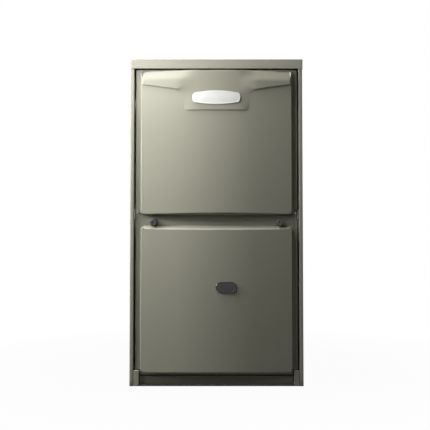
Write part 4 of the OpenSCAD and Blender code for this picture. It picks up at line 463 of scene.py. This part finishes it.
def upperOutline(x, z):
    # inside any of three rectangles: the flange, the strip between the notches, or the raised panel
    flange = boxInside(x, z, -upper["half"], upper["half"], upper["notchTop"], upper["high"], 2.5)
    strip = boxInside(x, z, -upper["notchHalf"], upper["notchHalf"], upper["low"], upper["high"], 4.0)
    panel = boxInside(x, z, -door["footHalf"], door["footHalf"], upper["panelLow"], upper["high"], 2.0)
    return np.maximum(np.maximum(flange, strip), panel)


def embossHeight(x, z):
    # the T over the panel: the wings' height far from the middle, the stem's near it, blended between
    a = np.abs(x)
    # the crease's height at each distance from the middle, and how far a point is above it
    along = np.clip((a - upper["creaseInnerX"]) / (upper["creaseOuterX"] - upper["creaseInnerX"]), 0, 1)
    crease = upper["creaseInner"] + (upper["creaseOuter"] - upper["creaseInner"]) * along ** 0.9
    over = z - crease
    # the step is crisp along the wing and fades towards the stem
    soften = upper["creaseSoft"] * smooth(*upper["creaseFade"], a)
    step = smooth(upper["creaseStep"][0] - soften, upper["creaseStep"][1] + soften, over)
    # flat up to leanLow, then a bend of bendLength into an even slope back up to the top edge
    past = np.maximum(z - upper["leanLow"], 0)
    bend = np.minimum(past, upper["bendLength"])
    lean = np.maximum(past - upper["bendLength"], 0)
    sink = upper["leanSlope"] * (bend ** 2 / (2 * upper["bendLength"]) + lean)
    wing = (upper["wingRise"] - sink) * step * smooth(-1.0, 2.4, upper["wingSide"] - a)
    # stem: its sides flare upwards and blend softly, its foot is a crisp step
    up = np.clip((z - upper["stemFoot"]) / (upper["creaseInner"] - upper["stemFoot"]), 0, 1)
    half = upper["stemFootHalf"] + (upper["stemTopHalf"] - upper["stemFootHalf"]) * up ** 1.3
    soft = upper["stemSoft"] * (0.35 + 0.65 * smooth(0, 0.4, up))
    sideBlend = smooth(soft * 0.55, -soft * 0.45, a - half)
    footHalf = upper["stemFootHalf"] + upper["footMargin"]
    foot = boxInside(x, z, -footHalf, footHalf, upper["stemFoot"], upper["stemReach"], 6.0)
    above = z - upper["stemFoot"]
    crisp = np.maximum(smooth(-0.8, 0.9, foot), smooth(*upper["footFade"], above))
    stem = upper["stemRise"] * (0.5 + 0.5 * smooth(*upper["stemThin"], above)) * sideBlend * crisp
    mix = smooth(upper["wingFull"], upper["wingInner"], a)
    return wing * (1 - mix) + stem * mix


def upperHeight(x, z):
    # the panel, and the T on it from 0.4 to 3 mm inside the panel's foot line
    rise, e = panelHeight(x, z, upper["panelLow"], upper["panelHigh"], upper["lowSlope"], upper["highSlope"])
    return rise + embossHeight(x, z) * smooth(0.4, 3.0, e)


def upperEdge(x, z):
    # under the flange's lower edge the panel ends in its bare sheet, elsewhere the edge is bent back
    bare = z < upper["low"] - 1.5
    return np.where(bare, 0.3, 1.5), np.where(bare, door["sheet"], 4.6)


xs = both(spans((0, 72, 6), (72, 112, 1.3), (112, 180, 4), (180, 185, 0.9), (185, 196.5, 0.42),
                (196.5, upper["notchHalf"], 1.6), (upper["notchHalf"], upper["half"], 0.5)))
zs = spans((upper["panelLow"], 446, 0.42), (446, upper["notchTop"], 1.2), (upper["notchTop"], 453, 0.7),
           (453, 699, 12), (699, 709, 0.5), (709, 752, 2.4), (752, 774, 0.7), (774, 799, 2.4),
           (799, upper["high"], 0.42))
points, quads = sheetPanel(xs, zs, upperOutline, upperHeight, upperEdge, doorPlace, door["sheet"])
makeMesh("upper_door_skin", points, quads, enamel, "upper_door", "upper_door")
print("upper door", len(quads))


lower = {
    "step": 40.6, "notch": 424.6, "half": 208.0,      # limits of the flange
    "low": 28.0, "footHalf": 195.8,                   # the strip under it, between the corner feet
    "top": 434.0, "notchHalf": 204.5,                 # the strip over it, between the door rest tabs
    "earTop": 438.3, "earInner": 195.6,               # an ear at each end of that strip
    "panelLow": 33.2, "panelHigh": 407.9, "lowSlope": 7.0,
    "wallRun": 6.6, "wallGrowth": 0.17,               # the upper wall's run in z, and its growth with rise
    "grooveX": 199.6, "grooveWidth": 1.3, "grooveDepth": 0.55, "stripDrop": 0.25,
    "studX": 161.4, "studZ": 416.0, "studHole": 3.4,
    "lensX": 24.7, "lensZ": 251.0, "lensHalf": 13.0, "lensHole": 11.0,
}


def lowerOutline(x, z):
    # inside any of four rectangles: flange, raised strip at the top, ears, and foot; less the three holes
    body = boxInside(x, z, -lower["half"], lower["half"], lower["step"], lower["notch"], 2.0)
    middle = boxInside(x, z, -lower["notchHalf"], lower["notchHalf"], lower["step"], lower["top"], 1.0)
    ears = boxInside(np.abs(x), z, lower["earInner"], lower["notchHalf"], lower["step"], lower["earTop"], 3.6)
    foot = boxInside(x, z, -lower["footHalf"], lower["footHalf"], lower["low"], 120, 2.0)
    whole = np.maximum(np.maximum(body, middle), np.maximum(ears, foot))
    studs = outsideOval(np.abs(x), z, lower["studX"], lower["studZ"], 0, lower["studHole"])
    lens = outsideOval(x, z, lower["lensX"], lower["lensZ"], lower["lensHalf"], lower["lensHole"])
    return np.minimum(whole, np.minimum(studs, lens))


def lowerHeight(x, z):
    # the panel, with a bell shaped groove along the flange's step line and a slightly lower strip past it
    full = door["faceY"] - door["panelY"] - bowBack(x)
    highSlope = full / (lower["wallRun"] + lower["wallGrowth"] * full)
    rise, e = panelHeight(x, z, lower["panelLow"], lower["panelHigh"], lower["lowSlope"], highSlope)
    a = np.abs(x)
    groove = -lower["grooveDepth"] * np.exp(-((a - lower["grooveX"]) / (lower["grooveWidth"] / 2)) ** 2)
    strip = -lower["stripDrop"] * smooth(0, 1.2, a - lower["grooveX"])
    return rise + groove + strip


def lowerEdge(x, z):
    # a plain cut round the holes, elsewhere the edge is bent back
    nearHole = np.minimum(outsideOval(np.abs(x), z, lower["studX"], lower["studZ"], 0, 6),
                          outsideOval(x, z, lower["lensX"], lower["lensZ"], lower["lensHalf"], 14)) < 0
    return np.where(nearHole, 0.1, 1.4), np.where(nearHole, 0.2, 4.4)


xs = np.unique(np.round(np.concatenate([
    both(spans((0, 156, 6), (156, 167, 0.8), (167, 184, 3), (184, 198, 0.45), (198, lower["half"], 0.5))),
    spans((-2, 51, 1.1))]), 4))                            # finer lines across the sight glass
zs = spans((lower["low"], 48, 0.5), (48, 235, 9), (235, 267, 1.1), (267, 390, 9), (390, 410, 0.5),
           (410, 422, 0.8), (422, lower["earTop"], 0.5))
points, quads = sheetPanel(xs, zs, lowerOutline, lowerHeight, lowerEdge, doorPlace, door["sheet"])
makeMesh("lower_door_skin", points, quads, enamel, "lower_door", "lower_door")
print("lower door", len(quads))


# a blank pillow shaped plate on the stem
badge = {"half": 61.5, "halfHeight": 17.5, "corner": 14.6, "z": 735.2, "surfaceY": -373.0,
         "sideArc": 1400.0,                                # how slowly its long sides fall towards the ends
         "points": 160}


def badgeLoop(inset, rise):
    # a rectangle with round corners and bowed long sides, shrunk by inset and rise in front of the stem
    t = np.arange(badge["points"]) * 2 * math.pi / badge["points"]
    a, b, r = badge["half"], badge["halfHeight"], badge["corner"]
    cx = np.sign(np.cos(t)) * (a - r) * np.minimum(1, np.abs(np.cos(t)) * 1.5) + r * np.cos(t)
    cz = np.sign(np.sin(t)) * (b - r) * np.minimum(1, np.abs(np.sin(t)) * 3.0) + r * np.sin(t)
    cz = cz * (1 - cx ** 2 / (badge["sideArc"] * b))
    x = cx * (a - inset) / a
    z = cz * (b - inset) / b
    y = badge["surfaceY"] + bowBack(x) - rise
    return np.stack([x, y, badge["z"] + z], 1)


# (inset, rise) from the middle of the back to the middle of the front
profile = [(14.0, -0.1), (8.0, -0.1), (0.25, -0.1), (0.0, 0.15), (0.0, 0.7), (0.25, 1.2), (0.8, 1.6),
           (1.5, 1.72), (2.2, 1.66), (2.7, 1.46), (3.2, 1.42), (6.0, 1.55), (10.0, 1.7), (14.5, 1.78),
           (17.3, 1.8)]
points, quads = loops([badgeLoop(i, h) for i, h in profile])
makeMesh("badge_blank", points, quads, badgePlastic, "upper_door", "badge_plate", 60)


# bezel and domed lens, round the lower door's lens hole
sight = {"radius": 14.0, "points": 120}


def ovalLoop(inset, rise):
    # a bar with round ends, shrunk by inset and rise in front of the panel
    t = np.arange(sight["points"]) * 2 * math.pi / sight["points"]
    r = sight["radius"] - inset
    straight = np.sign(np.cos(t)) * lower["lensHalf"] * np.minimum(1, np.abs(np.cos(t)) * 8)
    x = lower["lensX"] + straight + r * np.cos(t)
    z = lower["lensZ"] + r * np.sin(t)
    y = door["panelY"] + bowBack(x) - rise
    return np.stack([x, y, z], 1)


# (inset, rise) from the barrel behind the hole over the bezel's rim to the middle of the lens
profile = [(3.4, -6.0), (3.1, -0.2), (0.15, -0.05), (0.0, 0.1), (0.0, 1.0), (0.3, 1.9), (0.9, 2.5),
           (1.7, 2.75), (2.3, 2.6), (2.7, 2.2), (3.0, 1.9), (4.5, 2.3), (7.0, 2.8), (10.0, 3.2),
           (12.5, 3.35), (13.9, 3.4)]
points, quads = loops([ovalLoop(i, h) for i, h in profile])
makeMesh("sight_window", points, quads, smoked, "lower_door", "sight_glass", 60)


# each knob sits on its stud, 0.3 mm in front of the lower door's flange
knob = {"baseY": -348.9, "frontY": -361.9, "skirt": 10.0, "face": 8.8, "flutes": 24, "fluteHeight": 0.16,
        "points": 144}
front, base = knob["frontY"], knob["baseY"]
# (radius, y) from the socket at the back over the skirt and the face to the dimple in the middle
profile = [(0.3, base - 7.5), (2.9, base - 7.5), (3.05, base - 7.2), (3.05, base - 0.2), (3.3, base),
           (9.3, base), (9.85, base - 0.3), (knob["skirt"], base - 0.9), (knob["skirt"], base - 3.2),
           (9.7, base - 3.8), (9.0, base - 4.1), (knob["face"] + 0.05, base - 4.6), (knob["face"], base - 8),
           (knob["face"], front + 1.3), (8.65, front + 0.7), (8.25, front + 0.25), (7.7, front),
           (6.2, front + 0.12), (4.2, front + 0.2), (3.1, front + 0.15), (2.8, front + 0.5),
           (2.6, front + 1.4), (2.4, front + 2.8), (0.3, front + 3.0)]
for side, name, body in ((-1, "left_knob", "left_latch"), (1, "right_knob", "right_latch")):
    points, quads = lathe(profile, (side * lower["studX"], lower["studZ"]), knob["points"],
                          lambda angle: knob["fluteHeight"] * np.cos(knob["flutes"] * angle))
    makeMesh(name + "_turned", points, quads, knobNylon, body, name, 50)
print("door fittings made")


# each side panel is one bent sheet; a hole is given by its y, z and radius
cabinet = {"half": 221.5, "opening": 212.0, "frontY": -355.6, "backY": 374.4, "topZ": 836.8, "sheet": 1.2,
           "returnBend": 1.2, "bend": 1.7, "rearBend": 2.4, "returnDepth": 12.0, "rearFlange": 14.0,
           "gas": (-295.6, 729.0, 22.0), "drain": (-187.6, 457.0, 15.0), "wire": (-205.6, 364.0, 11.1)}


def sidePanel(side):
    # a bent line in plan, carried up to the top; u runs along the line and v up, and a hole is cut where
    # the distance from its middle along the sheet is less than its radius
    inner, outer, front, back = (cabinet[key] for key in ("opening", "half", "frontY", "backY"))
    line, length = roundedPath([(inner, front + cabinet["returnDepth"]), (inner, front), (outer, front),
                                (outer, back), (outer - cabinet["rearFlange"], back)],
                               [cabinet["returnBend"], cabinet["bend"], cabinet["rearBend"]], 24)
    tangent = np.gradient(line, length, axis=0)
    tangent /= np.linalg.norm(tangent, axis=1, keepdims=True)
    # the flat side begins behind the front bend, and lengths along the sheet are measured from there
    bendEnd = front + cabinet["bend"]
    sideStart = length[np.argmin(np.abs(line[:, 1] - bendEnd) + np.abs(line[:, 0] - outer))]
    holes = [(sideStart + y - bendEnd, z, r)
             for y, z, r in (cabinet[key] for key in ("gas", "drain", "wire"))]
    cut = 0.2                                              # rounding of the cut edges
    around = lambda c, r: np.linspace(c - r - 3, c + r + 3, int(r * 2) + 6)
    us = np.unique(np.round(np.concatenate([length] + [around(u, r) for u, _, r in holes]), 3))
    vs = np.unique(np.round(np.concatenate(
        [np.linspace(cut, cabinet["topZ"], 44)] + [around(z, r) for _, z, r in holes]), 3))

    def outline(u, v):
        # inside the sheet's rectangle and outside every hole's circle
        inside = boxInside(u, v, -cut, length[-1] + cut, 0, cabinet["topZ"] + cut)
        for c, z, r in holes:
            inside = np.minimum(inside, np.hypot(u - c, v - z) - r)
        return inside

    def place(u, v, w):
        # the point of the line at u, moved out by w across the line's direction there
        x = np.interp(u, length, line[:, 0])
        y = np.interp(u, length, line[:, 1])
        tx = np.interp(u, length, tangent[:, 0])
        ty = np.interp(u, length, tangent[:, 1])
        return side * (x + ty * w), y - tx * w, v

    edge = lambda u, v: (np.full_like(u, cut), np.full_like(u, 0.3))
    return sheetPanel(us, vs, outline, level, edge, place, cabinet["sheet"], flip=side < 0, bendSteps=2)


for side, name in ((-1, "left_side_panel"), (1, "right_side_panel")):
    points, quads = sidePanel(side)
    makeMesh(name + "_sheet", points, quads, enamel, "cabinet", name)
print("side panels made")


# one sheet with a lip all round, a hemmed supply opening and holes for the two pipe sockets
cap = {"half": 222.7, "frontY": -356.8, "backY": 375.6, "top": 838.0, "lip": 24.0, "bend": 1.4,
       "openHalf": 198.3, "openFront": -158.4, "openBack": 350.0, "hem": 10.2, "hemBend": 2.0,
       "vent": (180.0, -239.6), "intake": (-70.0, -220.6), "socketHole": 35.2}


def capOutline(x, y):
    # inside the cap's rectangle, outside the supply opening's and outside both circles
    inside = boxInside(x, y, -cap["half"], cap["half"], cap["frontY"], cap["backY"], 3.0)
    supply = boxInside(x, y, -cap["openHalf"], cap["openHalf"], cap["openFront"], cap["openBack"], 4.0)
    inside = np.minimum(inside, -supply)
    for centre in (cap["vent"], cap["intake"]):
        inside = np.minimum(inside, np.hypot(x - centre[0], y - centre[1]) - cap["socketHole"])
    return inside


def capEdge(x, y):
    # the lip along the outer edge, the hem along the supply opening, and a plain cut at the sockets
    outer = boxInside(x, y, -cap["half"], cap["half"], cap["frontY"], cap["backY"], 3.0) < 6
    hem = boxInside(x, y, -cap["openHalf"] - 6, cap["openHalf"] + 6, cap["openFront"] - 6,
                    cap["openBack"] + 6, 6) > 0
    hem = hem & ~outer
    return (np.where(outer, cap["bend"], np.where(hem, cap["hemBend"], 0.3)),
            np.where(outer, cap["lip"], np.where(hem, cap["hem"], cabinet["sheet"])))


xs = np.unique(np.concatenate([both(spans((192, 206, 0.8), (216, cap["half"], 0.5), (0, 192, 16))),
                               spans((140, 222, 2.0), (-110, -30, 2.0))]))
ys = spans((cap["frontY"], -350, 0.5), (-350, -282, 14), (-282, -180, 2.0), (-166, -150, 0.8),
           (-150, 342, 24), (342, 358, 0.8), (369, cap["backY"], 0.5))
points, quads = sheetPanel(xs, ys, capOutline, level, capEdge, lambda x, y, w: (x, y, cap["top"] + w),
                           cabinet["sheet"])
makeMesh("top_cap_sheet", points, quads, enamel, "cabinet", "top_cap")


# hexagon heads on a washer; hex is the hexagon's radius to its corners
screw = {"radius": 3.2, "height": 2.0, "washer": 0.7, "hex": 2.56, "shank": 1.8, "length": 9.2,
         "x": [-211.5, 211.5], "y": [-333.6, 9.4, 363.2], "points": 48}


def capScrew(cx, cy):
    # rings from the shank's tip up to the head's middle; a hexagon's radius at an angle is the distance to
    # its flats over the cosine of the angle from the nearest flat's middle
    angle = np.arange(screw["points"]) * 2 * math.pi / screw["points"]
    hexRadius = screw["hex"] * math.cos(math.pi / 6) / np.cos((angle % (math.pi / 3)) - math.pi / 6)
    shank, radius, washer = screw["shank"], screw["radius"], screw["washer"]
    height, tip = screw["height"], screw["length"]
    rows = [(0.01, -tip), (shank * 0.5, -tip), (shank, -tip + 1.5), (shank, 0.0), (radius, 0.0),
            (radius, washer * 0.6), (radius - 0.25, washer), (hexRadius + 0.1, washer + 0.05),
            (hexRadius, washer + 0.15), (hexRadius, height - 0.3), (hexRadius - 0.3, height),
            (hexRadius * 0.5, height - 0.12), (0.01, height - 0.2)]
    return loops([np.stack([cx + r * np.cos(angle), cy + r * np.sin(angle), 0 * angle + cap["top"] + h], 1)
                  for r, h in rows])


points, quads = joined([capScrew(x, y) for x in screw["x"] for y in screw["y"]])
makeMesh("cap_screw_heads", points, quads, plated, "cabinet", "cap_screws", 30)
print("cap made")


# a channel, open to the back
rail = {"half": 195.8, "frontY": -342.6, "depth": 16.0, "top": 25.0, "bottom": 1.2, "bend": 1.8, "sheet": 1.2}
near, far = rail["frontY"], rail["frontY"] + rail["depth"]
line, length = roundedPath([(far, rail["bottom"]), (near, rail["bottom"]), (near, rail["top"]),
                            (far, rail["top"])], [rail["bend"], rail["bend"]], 3)
xs = both(spans((0, rail["half"], 12)))
u, v = (a.ravel() for a in np.meshgrid(np.arange(len(line)), xs, indexing="ij"))
points = np.stack([v, line[u, 0], line[u, 1]], 1)
index = np.arange(len(u)).reshape(len(line), len(xs))
quads = np.stack([index[:-1, :-1], index[:-1, 1:], index[1:, 1:], index[1:, :-1]], -1).reshape(-1, 4)
points, quads = thicken(points, quads, rail["sheet"])
makeMesh("base_rail_bent", points, quads, enamel, "cabinet", "base_rail")

# the corner feet and the door rest tabs are small pressed trays, open to the back
foot = {"outer": 211.0, "inner": 197.3, "frontY": -355.6, "low": 0.05, "high": 40.0, "corner": 1.2,
        "bend": 1.2, "depth": 14.0, "sheet": 1.1, "chamfer": 4.0}
tab = {"outer": 211.4, "inner": 208.2, "frontY": -354.6, "low": 425.5, "high": 450.5, "corner": 0.9,
       "bend": 0.6, "depth": 7.4, "sheet": 0.9, "chamfer": 0.0}


def pressedPair(piece, step, zs):
    # one tray on each side of the cabinet: a rectangle less a chamfer at its lower inner corner
    def outline(x, z):
        # the distance inside the rectangle, or behind the chamfer's line where that is less
        a = np.abs(x)
        inside = boxInside(a, z, piece["inner"], piece["outer"], piece["low"], piece["high"], piece["corner"])
        chamfer = ((a - piece["inner"]) + (z - piece["low"]) - piece["chamfer"]) / math.sqrt(2)
        return np.minimum(inside, chamfer) if piece["chamfer"] else inside

    edge = lambda x, z: (np.full_like(x, piece["bend"]), np.full_like(x, piece["depth"]))
    place = lambda x, z, w: (x, piece["frontY"] - w, z)
    xs = spans((piece["inner"], piece["outer"], step))
    return joined([sheetPanel(np.sort(side * xs), zs, outline, level, edge, place, piece["sheet"])
                   for side in (-1, 1)])


zs = spans((foot["low"], 8, 0.5), (8, 36, 3), (36, foot["high"], 0.5))
points, quads = pressedPair(foot, 0.5, zs)
makeMesh("corner_feet_pressed", points, quads, enamel, "cabinet", "corner_feet")
zs = spans((tab["low"], tab["low"] + 2, 0.3), (tab["low"] + 2, tab["high"] - 2, 3),
           (tab["high"] - 2, tab["high"], 0.3))
points, quads = pressedPair(tab, 0.3, zs)
makeMesh("door_rest_tabs_pressed", points, quads, enamel, "cabinet", "door_rest_tabs")
print("base made")


def seenDirectly(tree):
    # 1 for rays of the camera, of reflections and through glass, 0 for light that only falls on something
    path = addNode(tree, "LightPath").outputs
    through = {0: path["Is Glossy Ray"], 1: path["Is Transmission Ray"]}
    mirrored = addNode(tree, "Math", through, operation="MAXIMUM").outputs[0]
    return addNode(tree, "Math", {0: path["Is Camera Ray"], 1: mirrored}, operation="MAXIMUM").outputs[0]


# metres: half the floor's side, where its shadow fades out for the camera, how white it is close by, and
# half the cabinet's footprint
ground = {"half": 12, "fade": (0.45, 1.1), "near": 0.965, "footprint": (0.22, 0.354)}
floorMesh = bpy.data.meshes.new("floor")
corners = [(x * ground["half"], y * ground["half"], 0) for x, y in ((-1, -1), (1, -1), (1, 1), (-1, 1))]
floorMesh.from_pydata(corners, [], [(0, 1, 2, 3)])
floor = bpy.data.objects.new("floor", floorMesh)
bpy.context.scene.collection.objects.link(floor)
floorMaterial = bpy.data.materials.new("studio_floor")
floorMaterial.use_nodes = True
tree = floorMaterial.node_tree
diffuse = addNode(tree, "BsdfDiffuse", {"Color": linear("#50504f")})
white = addNode(tree, "Emission", {"Color": linear("#ffffff"), "Strength": 1.0})
place = addNode(tree, "TexCoord").outputs["Object"]
away = addNode(tree, "VectorMath", {0: place}, operation="LENGTH")
# the camera sees the shadow close to the cabinet and plain white further out
share = addNode(tree, "MapRange", {"Value": away.outputs["Value"], "From Min": ground["fade"][0],
                                   "From Max": ground["fade"][1], "To Min": ground["near"], "To Max": 1.0})
# under the cabinet it stays dark: 1 where x or y is past the footprint's edge
spot = addNode(tree, "SeparateXYZ", {0: place}).outputs
sizes = [addNode(tree, "Math", {0: spot[i]}, operation="ABSOLUTE").outputs[0] for i in (0, 1)]
past = [addNode(tree, "Math", {0: size, 1: edge}, operation="GREATER_THAN").outputs[0]
        for size, edge in zip(sizes, ground["footprint"])]
clear = addNode(tree, "Math", {0: past[0], 1: past[1]}, operation="MAXIMUM")
bright = addNode(tree, "Math", {0: clear.outputs[0], 1: share.outputs[0]}, operation="MULTIPLY")
seen = addNode(tree, "Math", {0: seenDirectly(tree), 1: bright.outputs[0]}, operation="MULTIPLY")
mixed = addNode(tree, "MixShader", {0: seen.outputs[0], 1: diffuse.outputs[0], 2: white.outputs[0]})
tree.links.new(mixed.outputs[0], tree.nodes["Material Output"].inputs["Surface"])
floorMesh.materials.append(floorMaterial)

# lamps in metres and watts: a bank of soft lamps close to the left of the front, and four round the rest
light = {
    "keyTop": {"place": (-0.52, -0.5, 1.6), "aim": (0, -0.36, 0.7), "size": (0.2, 0.2), "power": 12.0},
    "keySide": {"place": (-1.2, -0.52, 0.8), "aim": (0, -0.36, 0.3), "size": (0.2, 0.2), "power": 11.0},
    "keySideNear": {"place": (-0.7, -0.5, 0.7), "aim": (0, -0.36, 0.3), "size": (0.2, 0.2), "power": 4.0},
    "keyHigh": {"place": (-0.24, -0.68, 1.3), "aim": (0, -0.36, 0.6), "size": (0.16, 0.16), "power": 0.99},
    "keyMiddle": {"place": (-0.24, -0.68, 0.85), "aim": (0, -0.36, 0.3), "size": (0.16, 0.16), "power": 1.05},
    "keyUpper": {"place": (-0.24, -0.52, 1), "aim": (0, -0.36, 0.6), "size": (0.16, 0.16), "power": 0.54},
    "keyFront": {"place": (-1.6, -1.6, 1.2), "aim": (0, -0.36, 0.3), "size": (0.3, 0.3), "power": 5.2},
    "left": {"place": (-2.6, 0.6, 1.7), "aim": (0, 0.05, 0.4), "size": (1.6, 1.6), "power": 10.0},
    "right": {"place": (2.6, 0.6, 1.7), "aim": (0, 0.05, 0.4), "size": (1.6, 1.6), "power": 60.0},
    "back": {"place": (0.6, 3.0, 2.0), "aim": (0, 0.3, 0.4), "size": (2.0, 1.6), "power": 42.0},
    "above": {"place": (0, 0.5, 2.9), "aim": (0, 0.1, 0.8), "size": (1.6, 1.2), "power": 14.0},
}
worldLight = 0.02


def areaLamp(name, place, aim, size, power):
    # its -Z axis is turned along the line from place to aim
    data = bpy.data.lights.new(name, "AREA")
    data.shape = "RECTANGLE"
    data.size, data.size_y = size
    data.energy = power
    lamp = bpy.data.objects.new(name, data)
    bpy.context.scene.collection.objects.link(lamp)
    lamp.location = place
    direction = np.array(aim, float) - np.array(place, float)
    lamp.rotation_mode = "QUATERNION"
    lamp.rotation_quaternion = Vector(direction).to_track_quat("-Z", "Y")
    lamp.visible_camera = False


for name, settings in light.items():
    areaLamp(name, **settings)

world = bpy.data.worlds.new("studio")
bpy.context.scene.world = world
world.use_nodes = True
tree = world.node_tree
tree.nodes.clear()
dim = addNode(tree, "Background", {"Color": linear("#ffffcb"), "Strength": worldLight})
white = addNode(tree, "Background", {"Color": linear("#ffffff"), "Strength": 1.0})
mixed = addNode(tree, "MixShader", {0: seenDirectly(tree), 1: dim.outputs[0], 2: white.outputs[0]})
addNode(tree, "OutputWorld", {"Surface": mixed.outputs[0]})

# place in metres, pitch in degrees, focal length in pixels of a picture that is so many pixels wide
view = {"place": (-0.0038, -2.2556, 0.356), "pitch": 2.384, "focal": 742.0, "pixels": 430, "sensor": 36.0}
cameraData = bpy.data.cameras.new("camera")
cameraData.sensor_width = view["sensor"]
cameraData.lens = view["sensor"] * view["focal"] / view["pixels"]
camera = bpy.data.objects.new("camera", cameraData)
bpy.context.scene.collection.objects.link(camera)
camera.location = view["place"]
camera.rotation_euler = (math.radians(90 + view["pitch"]), 0, 0)
bpy.context.scene.camera = camera
bpy.context.scene.view_settings.view_transform = "Standard"
print("stage made")
